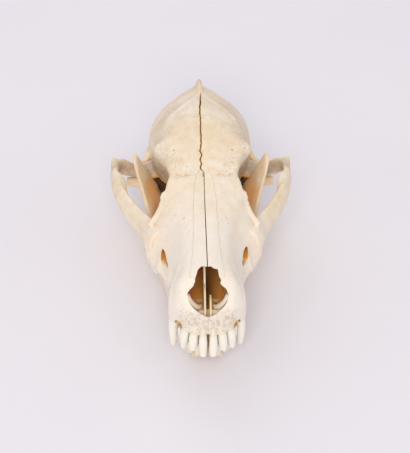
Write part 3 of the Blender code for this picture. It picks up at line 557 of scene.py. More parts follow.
class SkullShape(bpy.types.PropertyGroup):
    """Sizes of the skull that the solids leave open."""

    grain: metres("Grain", "Cells in which the forms of one bone grow together", 0.0006)
    seam: metres("Seam", "Gap between two bones that have all but grown together", 0.00007)
    nasal_seam: metres("Nasal seam", "Gap between the nasal bones, which has dried open", 0.0005)
    crack_depth: metres("Crack depth", "How deep the open seam in the forehead goes", 0.0016)
    waver: metres("Waver", "Height of the soft unevenness of every bone", 0.00014)
    tooth_levels: IntProperty(
        name="Tooth levels",
        description="Rounds of subdivision that the teeth get",
        default=2,
    )


class SkullColours(bpy.types.PropertyGroup):
    """Colours of the bone and of the teeth."""

    ivory: hue("Ivory", "Clean dry bone", "F3E7D3")
    cream: hue("Cream", "Bone that has kept some of its fat", "E9D1AB")
    # Grey is also laid on as painted shade on the side of the braincase and the root of the cheek arch
    grey_and_painted_shade: hue("Grey", "Thin bone that shows what is behind it", "A8957F")
    # Amber is also laid on as painted shade under the upper incisors, behind the eye and on the inner faces
    # of the lower jaw
    amber: hue("Amber", "Stain inside the nose and the canals", "F6BC66")
    # Umber is also laid on as painted shade on the base of the skull behind the eye
    umber: hue("Umber", "Dirt in the deepest places", "5B3A1E")
    enamel: hue("Enamel", "Crowns of the teeth", "F3EEE2")
    neck: hue("Neck", "Teeth where they leave the bone", "E6D3AE")


class StageLook(bpy.types.PropertyGroup):
    """The table and the light."""

    table: hue("Table", "Matt paper under the skull", "EEEBED")
    sky: FloatProperty(
        name="Sky",
        description="Strength of the light from all round",
        default=0.73,
    )
    key: FloatProperty(
        name="Key",
        description="Power of the large light over the nose",
        default=22.0,
        unit="POWER",
    )
    fill: FloatProperty(
        name="Fill",
        description="Power of the light from behind",
        default=3.4,
        unit="POWER",
    )


def smooth_value(knots, at):
    """The value at a place on the smooth curve through knots of (place, value)."""
    if at <= knots[0][0]:
        return knots[0][1]
    if at >= knots[-1][0]:
        return knots[-1][1]
    i = max(n for n, knot in enumerate(knots) if knot[0] <= at)
    span = knots[i + 1][0] - knots[i][0]
    t = (at - knots[i][0]) / span

    def slope(n):
        low, high = max(n - 1, 0), min(n + 1, len(knots) - 1)
        return (knots[high][1] - knots[low][1]) / (knots[high][0] - knots[low][0])

    start = knots[i][1] * (2 * t**3 - 3 * t**2 + 1) + slope(i) * span * (t**3 - 2 * t**2 + t)
    end = knots[i + 1][1] * (3 * t**2 - 2 * t**3) + slope(i + 1) * span * (t**3 - t**2)
    return start + end


def column(rows, index):
    """Knots of one column of a table whose first column is the place."""
    return [(row[0], row[index]) for row in rows]


def steps(first, last, count):
    return [first + (last - first) * n / (count - 1) for n in range(count)]


def loft(bm, rings):
    """A closed skin over rings of equal count, extruded from one ring to the next."""
    made = [bm.verts.new(p) for p in rings[0]]
    edges = [bm.edges.new((made[i], made[(i + 1) % len(made)])) for i in range(len(made))]
    bm.faces.new(made)
    for ring in rings[1:]:
        grown = bmesh.ops.extrude_edge_only(bm, edges=edges)["geom"]
        new = {g for g in grown if isinstance(g, bmesh.types.BMVert)}
        following = []
        for old, place in zip(made, ring):
            other = next(e.other_vert(old) for e in old.link_edges if e.other_vert(old) in new)
            other.co = place
            following.append(other)
        made = following
        edges = [bm.edges.get((made[i], made[(i + 1) % len(made)])) for i in range(len(made))]
    bm.faces.new(made)


def bar(bm, path, widths, heights, up=(0, 0, 1), count=12, per_span=3):
    """A bent bar along a path with an oval section: widths across, heights towards up."""
    lines = [[(n, p[axis]) for n, p in enumerate(path)] for axis in range(3)]
    total = (len(path) - 1) * per_span + 1
    centres = [Vector([smooth_value(line, n / per_span) for line in lines]) for n in range(total)]
    rings = []
    for n, centre in enumerate(centres):
        ahead = centres[min(n + 1, total - 1)] - centres[max(n - 1, 0)]
        side = ahead.cross(Vector(up)).normalized()
        rise = side.cross(ahead).normalized()
        wide = smooth_value(list(enumerate(widths)), n / per_span) / 2
        high = smooth_value(list(enumerate(heights)), n / per_span) / 2
        turns = [2 * math.pi * k / count for k in range(count)]
        rings.append([centre + side * wide * math.cos(a) + rise * high * math.sin(a) for a in turns])
    loft(bm, rings)


def ball(bm, centre, radii, turn=(0, 0, 0), fine=20):
    """An ellipsoid, turned by angles in degrees about x, y and z."""
    spin = Matrix.Identity(4)
    for angle, axis in zip(turn, "XYZ"):
        spin = Matrix.Rotation(math.radians(angle), 4, axis) @ spin
    place = Matrix.Translation(centre) @ spin @ Matrix.Diagonal((*radii, 1))
    bmesh.ops.create_uvsphere(bm, u_segments=fine, v_segments=fine // 2, radius=1, matrix=place)


def add_side(bm, build, side):
    """Adds what build makes for the left side, or its mirror image."""
    half = bmesh.new()
    build(half)
    bmesh.ops.recalc_face_normals(half, faces=half.faces)
    if side < 0:
        bmesh.ops.scale(half, vec=(-1, 1, 1), verts=half.verts)
        bmesh.ops.reverse_faces(half, faces=half.faces)
    copy = bpy.data.meshes.new("side")
    half.to_mesh(copy)
    half.free()
    bm.from_mesh(copy)
    bpy.data.meshes.remove(copy)


def both_sides(bm, build):
    add_side(bm, build, 1)
    add_side(bm, build, -1)


def object_from(name, bm):
    """The bmesh as an object in metres, with its faces turned out."""
    bmesh.ops.recalc_face_normals(bm, faces=bm.faces)
    bmesh.ops.scale(bm, vec=(MM, MM, MM), verts=bm.verts)
    mesh = bpy.data.meshes.new(name)
    bm.to_mesh(mesh)
    bm.free()
    made = bpy.data.objects.new(name, mesh)
    bpy.context.scene.collection.objects.link(made)
    return made


def made_by(name, build, side=1):
    bm = bmesh.new()
    add_side(bm, build, side)
    return object_from(name, bm)


def settle(made):
    """Replaces an object's mesh by what its modifiers make of it."""
    graph = bpy.context.evaluated_depsgraph_get()
    mesh = bpy.data.meshes.new_from_object(made.evaluated_get(graph))
    old = made.data
    made.modifiers.clear()
    made.data = mesh
    bpy.data.meshes.remove(old)
    return made


def grow_together(made, grain, rounds):
    """Fuses all closed forms in the object into one surface and softens where they meet."""
    remesh = made.modifiers.new("fuse", "REMESH")
    remesh.mode = "VOXEL"
    remesh.voxel_size = grain
    soften = made.modifiers.new("soften", "SMOOTH")
    soften.factor = 0.5
    soften.iterations = rounds
    return settle(made)


def combine(made, operation, other):
    tool = made.modifiers.new("combine", "BOOLEAN")
    tool.operation = operation
    tool.solver = "MANIFOLD"
    tool.object = other
    settle(made)
    bpy.data.objects.remove(other)
    return made


def copy_of(made, name):
    copy = made.copy()
    copy.data = made.data.copy()
    copy.name = name
    copy.data.name = name
    bpy.context.scene.collection.objects.link(copy)
    return copy


def keep_largest(made):
    """Keeps the largest closed surface of the object and drops every crumb."""
    bm = bmesh.new()
    bm.from_mesh(made.data)
    bmesh.ops.remove_doubles(bm, verts=bm.verts, dist=0.00001)
    left = set(bm.faces)
    pieces = []
    while left:
        grown = [left.pop()]
        piece = list(grown)
        while grown:
            face = grown.pop()
            for edge in face.edges:
                for other in edge.link_faces:
                    if other in left:
                        left.discard(other)
                        grown.append(other)
                        piece.append(other)
        pieces.append(piece)
    pieces.sort(key=lambda piece: sum(face.calc_area() for face in piece))
    for piece in pieces[:-1]:
        bmesh.ops.delete(bm, geom=piece, context="FACES")
    bmesh.ops.delete(bm, geom=[v for v in bm.verts if not v.link_faces], context="VERTS")
    bm.to_mesh(made.data)
    bm.free()
    return made


def section_at(y):
    """The whole outline of the skull at y, going round from the palate's middle."""
    lean = smooth_value([(row[0], row[1]) for row in SECTIONS], y)
    marks = []
    for n in range(len(SECTIONS[0][2])):
        x = smooth_value([(row[0], row[2][n][0]) for row in SECTIONS], y)
        z = smooth_value([(row[0], row[2][n][1]) for row in SECTIONS], y)
        marks.append((x, z))
    outline = marks + [(-x, z) for x, z in marks[-2:0:-1]]
    count = len(outline)
    ring = []
    for n in range(count):
        a, b, c, d = [Vector(outline[(n + k) % count]) for k in (-1, 0, 1, 2)]
        for k in range(OUTLINE_STEPS):
            t = k / OUTLINE_STEPS
            flat = (
                b * (2 * t**3 - 3 * t**2 + 1)
                + (c - a) * 0.5 * (t**3 - 2 * t**2 + t)
                + c * (3 * t**2 - 2 * t**3)
                + (d - b) * 0.5 * (t**3 - t**2)
            )
            ring.append(Vector((flat.x, y + lean * (flat.y - LEAN_LEVEL), flat.y)))
    return ring


def add_skull_form(bm):
    first, last = SECTIONS[0][0], SECTIONS[-1][0]
    rings = [section_at(y) for y in steps(first, last, round((last - first) / SECTION_STEP))]
    edge = rings[-1]
    for size, middle, y, lean in OCCIPUT_RINGS:
        ring = []
        for p in edge:
            z = middle + (p.z - middle) * size
            ring.append(Vector((p.x * size, y + lean * (z - LEAN_LEVEL), z)))
        rings.append(ring)
    loft(bm, rings)


def add_arch(bm):
    bar(
        bm,
        ARCH_PATH,
        (9.6, 7.6, 5.6, 5, 4.6, 4.4, 4.2, 4.4, 5, 6, 8, 9),
        (16, 17, 15.4, 14, 12.8, 10.8, 9, 9.6, 10, 9.6, 9.4, 13),
        (-0.34, 0, 1),
    )
    bar(
        bm,
        (
            (37, 84, 16.6),
            (40.6, 91, 17.4),
            (43.6, 97, 18),
            (45, 103, 19),
            (45.8, 109, 20.2),
            (47.6, 114, 20.8),
            (50, 120, 20.6),
        ),
        (4, 4, 4, 4.6, 5, 4.6, 2),
        (3.4, 3.2, 3, 3, 3, 3, 2.4),
        count=10,
    )
    corner = ((48.4, 122.4, 19.4), (50.2, 126, 21.8), (51.6, 128.2, 24))
    bar(bm, corner, (4, 3.2, 1.6), (4, 3.2, 1.6), count=10)
    ball(bm, (50, 126.4, 20.6), (2.4, 4.4, 3.2), (0, 0, 10), 14)


def add_orbit_rim(bm):
    bar(
        bm,
        ((30.5, 68, 20.5), (26.2, 70.6, 26), (23.5, 73.2, 31.4), (21.6, 77.4, 36.6)),
        (3.4, 3, 3, 3),
        (3.4, 3, 3, 3),
        (1, 0, 0),
        10,
    )


def add_ear_and_joint(bm):
    ball(bm, (19.2, 135.4, 3.2), (9, 12, 8.4), (0, 0, 10))
    bar(bm, ((24, 130.5, 12), (33, 131, 11.6), (42, 130.6, 13.4)), (11, 11, 7), (6, 6, 5), count=12)
    ball(bm, (33.5, 135, 6.4), (6.6, 1.9, 6), (-8, 0, 0), 14)
    bar(
        bm,
        ((46, 130.6, 15.6), (39, 134.6, 12.6), (33, 140, 12.4), (29, 146, 15.6)),
        (4, 4, 4, 4),
        (4, 3.6, 3.4, 4),
        count=10,
    )
    bar(bm, ((20, 149, 12), (21.4, 153.6, 6), (21, 155.4, -4)), (9, 6.5, 2), (8, 5.5, 2.2), (0, 1, 0), 10)
    ball(bm, (27, 147.5, 12), (5, 6, 8), (0, 0, 0), 14)
    ball(bm, (25.6, 134, 8.4), (5.6, 6.6, 5.6), (0, 0, 0), 14)
    ball(bm, (10, 158.6, 11), (6.4, 6, 8.2), (18, 20, 0), 18)


def add_pterygoid(bm):
    bar(
        bm,
        ((9.5, 86, 5), (8.6, 94, 4.6), (8, 101, 4.4), (8.2, 106, 3.4)),
        (2.6, 2.2, 2, 1.6),
        (8, 8.4, 8, 3),
        count=10,
    )


def add_crests(bm):
    bar(
        bm,
        ((0, 141, 56.4), (0, 150, 56), (0, 159, 53), (0, 167.4, 49.6), (0, 171, 48.4)),
        (2.6, 3.2, 3.4, 3, 1.8),
        (3, 4.4, 6.4, 6, 3),
        count=12,
    )
    bar(bm, ((0, 167.5, 47), (0, 163.4, 40), (0, 160.6, 30)), (2.8, 2.8, 3), (5, 5, 5), (0, 1, 0), 10)


def add_beak(bm):
    bar(
        bm,
        ((0, 148, 47), (0, 156, 46.6), (0, 163, 46.2), (0, 168.4, 46.8)),
        (32, 27, 14, 4),
        (9, 8, 6, 4.4),
    )


def add_nuchal_edge(bm):
    bar(
        bm,
        (
            (0, 167.4, 47.4),
            (5.5, 163.6, 45.6),
            (11.4, 160.4, 43.4),
            (18, 156.8, 40),
            (24.2, 153, 33.4),
            (28.2, 150, 24.4),
            (28.2, 148.6, 15),
        ),
        (3.6, 3.2, 3, 3, 3, 3, 3),
        (3.6, 3.4, 3.2, 3.2, 3.2, 3.2, 3.2),
        (0, 1, 1),
        10,
    )


def cut_cavity(bm):
    rings = []
    for y in steps(CAVITY[0][0], CAVITY[-1][0], 26):
        low_half, half, floor, wide = [smooth_value(column(CAVITY, n), y) for n in (1, 2, 3, 4)]
        roof = crown_at(y) - ROOF_THICKNESS
        shoulder = min(half, CAVITY_SHOULDER)
        right = (
            (low_half, floor),
            (half, wide),
            (half * 0.97, wide + 4),
            (shoulder, roof - 3),
            (shoulder * 0.6, roof),
        )
        outline = list(right) + [(-x, z) for x, z in reversed(right)]
        rings.append([Vector((x, y, z)) for x, z in outline])
    loft(bm, rings)


def jag(first, second, size):
    """A small irregular offset that depends on two distances along a seam."""
    return noise.noise(Vector((first * JAG_PITCH, second * JAG_PITCH, JAG_LAYER))) * size


def cut_nose_opening(bm):
    """The opening of the nose, with the broken edge that thin bone has."""
    outline = NOSE_OPENING + tuple((-x, y, z) for x, y, z in NOSE_OPENING[-2:0:-1])
    count = len(outline)
    closed = [outline[n % count] for n in range(-2, count + 3)]
    knots = [[(k - 2, point[axis]) for k, point in enumerate(closed)] for axis in range(3)]
    points_per_knot, along, thin_from = 6, 2.6, 20
    edge = []
    for n in range(count * points_per_knot):
        place = n / points_per_knot
        x, y, z = [smooth_value(line, place) for line in knots]
        rough = 0.5 + 1.1 * max(0, (z - thin_from) / 10)
        edge.append((x + jag(place * along, 1, rough), y, z + jag(place * along, 9, rough)))
    inside, outside, forward, up = -7, 16, 0.72, 0.7
    rings = []
    for out in (inside, outside):
        rings.append([Vector((x, y - out * forward, z + out * up)) for x, y, z in edge])
    loft(bm, rings)


def add_septum(bm):
    """The two thin plates that stand on the floor of the nose."""
    for x, profile in SEPTUM_PLATES:
        rings = []
        for place in (x - SEPTUM_THICKNESS / 2, x + SEPTUM_THICKNESS / 2):
            rings.append([Vector((place, y, z)) for y, z in profile])
        loft(bm, rings)


def cut_palatine_fissure(bm):
    ball(bm, (5.2, 16.6, 3), (2.1, 5.6, 8), (0, 0, 4), 16)


def cut_canine_notch(bm):
    """The notch behind the corner incisor that the lower canine closes into."""
    ball(bm, (15.6, 9, 0.8), (2, 2.6, 4.2), fine=14)


def cut_infraorbital_canal(bm, drop):
    path = (
        (24.4, 43.6, 8.4 - drop),
        (22.6, 49.6, 11 - drop),
        (21.6, 60, 13),
        (22.4, 78, 12.4),
        (22, 86, 12),
    )
    bar(bm, path, (6.8, 5.4, 4, 5, 6), (7.6, 7, 5, 6, 8), count=12)


def cut_choana(bm):
    bar(bm, ((0, 90, 6), (0, 97, 6.4), (0, 108, 3)), (12, 12, 12), (7, 8, 8), count=12)


def cut_ear(bm):
    bar(bm, ((36, 142, 10), (28, 141, 9.4), (19, 139, 7)), (7, 6, 4), (7, 6, 4), count=12)


def cut_glenoid(bm):
    bar(
        bm,
        ((26.6, 127.6, 5), (35, 129, 5.6), (44.6, 128.8, 6.6)),
        (7.6, 8.2, 7.6),
        (7.6, 8.2, 7.6),
        (0, 1, 0),
        16,
    )


def cut_foramen_magnum(bm):
    bar(
        bm,
        ((0, 136, 22), (0, 148, 21), (0, 157, 17.4), (0, 172, 14)),
        (24, 22, 17, 17),
        (22, 20, 13.6, 14),
        count=18,
    )


def crown_at(y):
    """Height of the skull's middle line."""
    return smooth_value([(row[0], row[2][-1][1]) for row in SECTIONS], y)


def crack_at(y):
    """How far the open seam lies from the middle, and half its width."""
    x = smooth_value(column(CRACK, 1), y) + jag(y * 2, 4, CRACK_STRAY)
    return x, smooth_value(column(CRACK, 2), y) / 2


def cut_crack(bm, depth):
    """The open seam along the forehead, as a wedge that follows the middle line."""
    rings = []
    for y in steps(CRACK[0][0], CRACK[-1][0], 120):
        x, half = crack_at(y)
        wide = max(half + jag(y * 3, 7, CRACK_WIDTH_STRAY), CRACK_LEAST)
        top, bottom = crown_at(y) + CRACK_ABOVE, crown_at(y) - depth
        flare = wide * (CRACK_ABOVE + depth) / depth
        wedge = ((x - flare, top), (x + flare, top), (x, bottom))
        rings.append([Vector((across, y, up)) for across, up in wedge])
    loft(bm, rings)


def add_nose_sill(bm):
    """The thin inner lip along the floor of the nose opening."""
    bar(
        bm,
        ((10.6, 12.6, 17.2), (8.8, 11.6, 13.4), (6.2, 12, 10), (3.8, 14, 7.6), (2.6, 19, 6)),
        (1.5, 1.7, 1.7, 1.5, 1.2),
        (2.8, 3.2, 3, 2.4, 1.8),
        (0, 1, 0.6),
        8,
    )


def places_of(mesh):
    """Places in millimetres and normals of a mesh."""
    count = len(mesh.vertices)
    places = np.empty(count * 3)
    normals = np.empty(count * 3)
    mesh.vertices.foreach_get("co", places)
    mesh.vertices.foreach_get("normal", normals)
    return places.reshape(-1, 3) / MM, normals.reshape(-1, 3)


def within(places, path, reach):
    """Which places lie in the box round the path."""
    low, high = np.min(path, axis=0) - reach, np.max(path, axis=0) + reach
    return np.nonzero(((places > low) & (places < high)).all(1))[0]


def closest(places, path):
    """For each place its distance to the path, the way there, and the nearest stretch."""
    best = np.full(len(places), 1e9)
    way = np.zeros_like(places)
    which = np.zeros(len(places), int)
    for n, (a, b) in enumerate(zip(path[:-1], path[1:])):
        a, b = np.array(a, float), np.array(b, float)
        along = b - a
        t = np.clip(((places - a) @ along) / max(along @ along, 1e-9), 0, 1)
        step = a + t[:, None] * along - places
        far = np.sqrt((step**2).sum(1))
        nearer = far < best
        best[nearer], way[nearer], which[nearer] = far[nearer], step[nearer], n
    return best, way, which


def relieve(made, reliefs, sides):
    """Raises or sinks the surface along paths that are first drawn onto it."""
    places, normals = places_of(made.data)
    moved = np.zeros_like(places)
    for side in sides:
        for path, width, height in reliefs:
            line, facing = [], []
            for x, y, z in path:
                found = made.closest_point_on_mesh(Vector((side * x, y, z)) * MM)
                line.append(tuple(found[1] / MM))
                facing.append(tuple(found[2]))
            near = within(places, line, width)
            far, _, which = closest(places[near], line)
            agree = (normals[near] * np.array(facing)[which]).sum(1).clip(0, 1)
            rise = height * (1 - (far / width) ** 2).clip(0) ** 2 * agree**0.5
            moved[near] += normals[near] * rise[:, None]
    made.data.vertices.foreach_set("co", ((places + moved) * MM).ravel())
    made.data.update()


def waver(made, height):
    """The soft unevenness of grown bone."""
    places, normals = places_of(made.data)
    rise = []
    for place in places:
        fine = noise.noise(Vector(place) * FINE_WAVE)
        rise.append(noise.noise(Vector(place) * COARSE_WAVE) + FINE_SHARE * fine)
    places += normals * (np.array(rise) * height / MM)[:, None]
    made.data.vertices.foreach_set("co", (places * MM).ravel())
    made.data.update()


def pits_as_reliefs(pits):
    """Small openings as the shortest of sunken lines."""
    reliefs = []
    for (x, y, z), width, depth in pits:
        reliefs.append((((x, y, z), (x, y + 0.1, z)), width, -depth))
    return reliefs


def socket_rims(blades, level):
    """A low rim round each tooth where it leaves the bone."""
    rims = []
    for y, x, turn, length, width, *_ in blades:
        turned = Matrix.Rotation(math.radians(turn), 2)
        ring = []
        for n in range(RIM_POINTS + 1):
            angle = 2 * math.pi * n / RIM_POINTS
            along = math.cos(angle) * (length / 2 + RIM_ALONG)
            across = math.sin(angle) * (width / 2 + RIM_ACROSS)
            place = turned @ Vector((along, across))
            ring.append((x + place.x, y + place.y, level))
        rims.append((ring, RIM_WIDTH, RIM_HEIGHT))
    return rims


def bend_of(mesh, places, normals):
    """How much the surface stands out, above 0, or is hollow, below 0, at each point."""
    ends = np.empty(len(mesh.edges) * 2, int)
    mesh.edges.foreach_get("vertices", ends)
    a, b = ends.reshape(-1, 2).T
    count = len(places)
    met = np.maximum(np.bincount(a, minlength=count) + np.bincount(b, minlength=count), 1)

    def mean(values):
        return (np.bincount(a, values[b], count) + np.bincount(b, values[a], count)) / met

    middle = np.stack([mean(places[:, axis]) for axis in range(3)], 1)
    bend = ((places - middle) * normals).sum(1)
    for _ in range(BEND_ROUNDS):
        bend = 0.4 * bend + 0.6 * mean(bend)
    return bend


def mark(bone, stains_and_painted_shade, greys_and_painted_shade, porous):
    """Stores where the bone is stained, greyed or painted with shade, hollow or standing out, and porous.
    """
    mesh = bone.data
    places, normals = places_of(mesh)
    paint = np.zeros((len(places), 4))
    paint[:, 2] = (0.5 + bend_of(mesh, places, normals) * BEND_GAIN).clip(0, 1)
    for channel, washes in ((0, stains_and_painted_shade), (1, greys_and_painted_shade), (3, porous)):
        for side in (1, -1):
            for path, reach, strength, inward in washes:
                line = [(side * x, y, z) for x, y, z in path]
                near = within(places, line, reach)
                if not len(near):
                    continue
                far, way, _ = closest(places[near], line)
                cover = strength * (1 - (far / reach) ** 2).clip(0)
                if inward:
                    towards = (normals[near] * way).sum(1) / np.maximum(far, 0.01)
                    cover = strength * (towards * TURN_GAIN).clip(0, 1) * (far < reach)
                paint[near, channel] = np.maximum(paint[near, channel], cover)
    layer = mesh.color_attributes.new("marks", "FLOAT_COLOR", "POINT")
    layer.data.foreach_set("color", paint.ravel())


def mark_crack(bone):
    """Darkens the open seam in the forehead."""
    layer = bone.data.color_attributes["marks"]
    places, _ = places_of(bone.data)
    paint = np.empty(len(places) * 4)
    layer.data.foreach_get("color", paint)
    paint = paint.reshape(-1, 4)
    ys = steps(CRACK[0][0], CRACK[-1][0], 90)
    middles, halves_wide = zip(*(crack_at(y) for y in ys))
    line = [(x, y, crown_at(y) - 0.4) for x, y in zip(middles, ys)]
    near = within(places, line, CRACK_REACH)
    at = places[near]
    aside = np.abs(at[:, 0] - np.interp(at[:, 1], ys, middles))
    half = np.interp(at[:, 1], ys, halves_wide)
    cover = CRACK_STAIN * (1 - aside / (half + CRACK_MARGIN)).clip(0) ** 0.6
    paint[near, 0] = np.maximum(paint[near, 0], cover)
    layer.data.foreach_set("color", paint.ravel())


def add_jaw(bm):
    rings = []
    for z in steps(RAMUS[0][0], RAMUS[-1][0], 30):
        front, back, x, thick, turn = [smooth_value(column(RAMUS, n), z) for n in range(1, 6)]
        turns = [2 * math.pi * k / 20 for k in range(20)]
        ring = []
        for a in turns:
            along = math.copysign(abs(math.cos(a)) ** 0.7, math.cos(a))
            across = math.copysign(abs(math.sin(a)) ** 0.8, math.sin(a))
            y = along * (back - front) / 2
            ring.append(Vector((x + across * thick / 2 - turn * y, (front + back) / 2 + y, z)))
        rings.append(ring)
    loft(bm, rings)
    path = [(row[1], row[0], row[2]) for row in JAW_BODY]
    bar(bm, path, [row[3] for row in JAW_BODY], [row[4] for row in JAW_BODY], (JAW_LEAN, 0, 1), 16)
    bar(bm, ((27.4, 117, 0), (30.6, 124, 3), (34.6, 128, 4.6)), (6, 6, 7), (5, 5, 4), count=10)
    bar(
        bm,
        ((27.6, 127.8, 4.6), (35, 129, 5.4), (43.4, 128.8, 6.2)),
        (5.4, 6.6, 5.4),
        (5.4, 6.4, 5.4),
        (0, 1, 0),
        14,
    )
    bar(
        bm,
        ((26, 120, -21.6), (26.6, 128, -21.6), (27.6, 134.4, -18.8)),
        (4.6, 4.4, 2.6),
        (8, 7, 3.4),
        count=10,
    )


def blade_tooth(bm, size, sign, level):
    """A tooth as a row of upright sections, whose tips rise and fall along its length."""
    y, x, turn, length, width, root, heights = size
    turned = Matrix.Rotation(math.radians(turn), 3, "Z")
    knots = list(zip(steps(-0.5, 0.5, len(heights)), heights))
    rings = []
    for t in steps(-0.5, 0.5, 3 * len(heights) - 2):
        wide = width * (0.34 + 0.66 * math.sqrt(max(0, 1 - (2 * t) ** 2)))
        high = smooth_value(knots, t)
        ring = []
        for across, up in BLADE_SHAPE:
            z = up * high if up > 0 else up * root
            place = turned @ Vector((t * length, across * wide, 0))
            ring.append(Vector((x + place.x, y + place.y, level + sign * z)))
        rings.append(ring)
    loft(bm, rings)


def nasal_region(bm, grow):
    """The strip of the nose bridge that is the two nasal bones."""
    half = ((16, 9.4), (24, 8.4), (40, 7), (60, 6.4), (76, 5.4), (84, 3))
    rings = []
    for y in steps(15 - grow, 84 + grow, 90):
        crown = crown_at(max(y, 20.5))
        wide = smooth_value(half, y) + grow
        low, high = crown - NASAL_DEPTH - grow, crown + 8
        left, right = wide + jag(y, 2, 0.5), wide + jag(y, 12, 0.5)
        flat = ((-right, low), (left, low), (left, high), (-right, high))
        rings.append([Vector((x, y, z)) for x, z in flat])
    loft(bm, rings)


# Where the zygomatic bone begins and ends: height, front and back
CHEEK_LEVELS = (
    (-2, 79, 131),
    (8, 74, 127),
    (13, 70.6, 121.6),
    (18, 67.6, 112),
    (23, 65, 104.6),
    (30, 62, 97),
)


def cheek_region(bm, grow):
    """The stretch of the cheek arch that is the zygomatic bone."""
    rings = []
    for z, front, back in CHEEK_LEVELS:
        ahead = front - 8.8
        plan = ((31.2, front), (40, ahead), (60, ahead), (60, back), (40, back - 2), (31.2, 92))
        middle = Vector((46, (front + back) / 2))
        ring = []
        for x, y in plan:
            away = (Vector((x, y)) - middle).normalized() * grow * 1.25
            ring.append(Vector((x + away.x, y + away.y, z)))
        rings.append(ring)
    loft(bm, rings)


def slab(bm, levels, grow, rough):
    """The whole width of the face, from its tip to a jagged back edge given height by height."""
    half, tip = 60, -20
    rings = []
    for z in steps(levels[0][0], levels[-1][0], 60):
        back = smooth_value(levels, z) + grow
        ring = [Vector((-half, tip, z)), Vector((half, tip, z))]
        for x in steps(half, -half, 121):
            ring.append(Vector((x, back + jag(x * 1.6, z * 0.8, rough), z)))
        rings.append(ring)
    loft(bm, rings)


# Back edge of the face and of the incisor bones: height and y
FACE_BACK = (
    (-30, 96),
    (2, 95),
    (8, 92),
    (14, 84),
    (22, 79.4),
    (32, 79.4),
    (38, 83),
    (41.5, 84),
    (44.5, 81.6),
    (47, 80),
    (60, 80),
)
INCISOR_BACK = ((-30, 8.6), (0, 9), (6, 11), (14, 16.4), (22, 23.4), (27, 31), (30, 36), (36, 38))


def face_region(bm, grow):
    """Everything in front of the line where the upper jaw meets the frontal bones."""
    slab(bm, FACE_BACK, grow, 1.6)


def incisor_region(bm, grow):
    """The front of the face, with the sides of the nose opening."""
    slab(bm, INCISOR_BACK, grow, 0.5)


def half_space(bm, gap):
    """All of the left side, up to half the gap from the middle."""
    wide, front, back, low, high = 90, -40, 250, -90, 120
    plan = ((gap / 2, front), (wide, front), (wide, back), (gap / 2, back))
    loft(bm, [[Vector((x, y, z)) for x, y in plan] for z in (low, high)])


def take(whole, name, region, seam, side=1):
    """Cuts the part of the whole that is in the region out of it as a new object."""
    piece = copy_of(whole, name)
    combine(piece, "INTERSECT", made_by("region", lambda bm: region(bm, 0), side))
    combine(whole, "DIFFERENCE", made_by("region", lambda bm: region(bm, seam), side))
    return keep_largest(piece)


def halves(whole, name, gap):
    """Parts the whole down the middle into a left and a right object."""
    parts = {}
    for side, word in SIDES:
        piece = copy_of(whole, name + "_" + word)
        combine(piece, "INTERSECT", made_by("region", lambda bm: half_space(bm, gap), side))
        parts[name + "_" + word] = keep_largest(piece)
    bpy.data.objects.remove(whole)
    return parts


def add_node(tree, kind, settings=None, inputs=None):
    """Adds a node with its settings; an input is either a value or the socket that feeds it."""
    node = tree.nodes.new("ShaderNode" + kind)
    for name, value in (settings or {}).items():
        setattr(node, name, value)
    for name, value in (inputs or {}).items():
        if isinstance(value, bpy.types.NodeSocket):
            tree.links.new(value, node.inputs[name])
        else:
            node.inputs[name].default_value = value
    return node


def new_material(name, roughness, ior):
    made = bpy.data.materials.new(name)
    made.use_nodes = True
    tree = made.node_tree
    shader = tree.nodes["Principled BSDF"]
    shader.inputs["Roughness"].default_value = roughness
    shader.inputs["IOR"].default_value = ior
    return made, tree, shader


def overlay(tree, under, layers):
    """Lays colours over the first; each row is a colour and the factors of its share."""
    for above, *factors in layers:
        share = factors[0]
        for factor in factors[1:]:
            product = add_node(tree, "Math", {"operation": "MULTIPLY"}, {0: share, 1: factor})
            share = product.outputs[0]
        mix = {"Factor": share, 6: under, 7: (*above, 1)}
        under = add_node(tree, "Mix", {"data_type": "RGBA"}, mix).outputs[2]
    return under


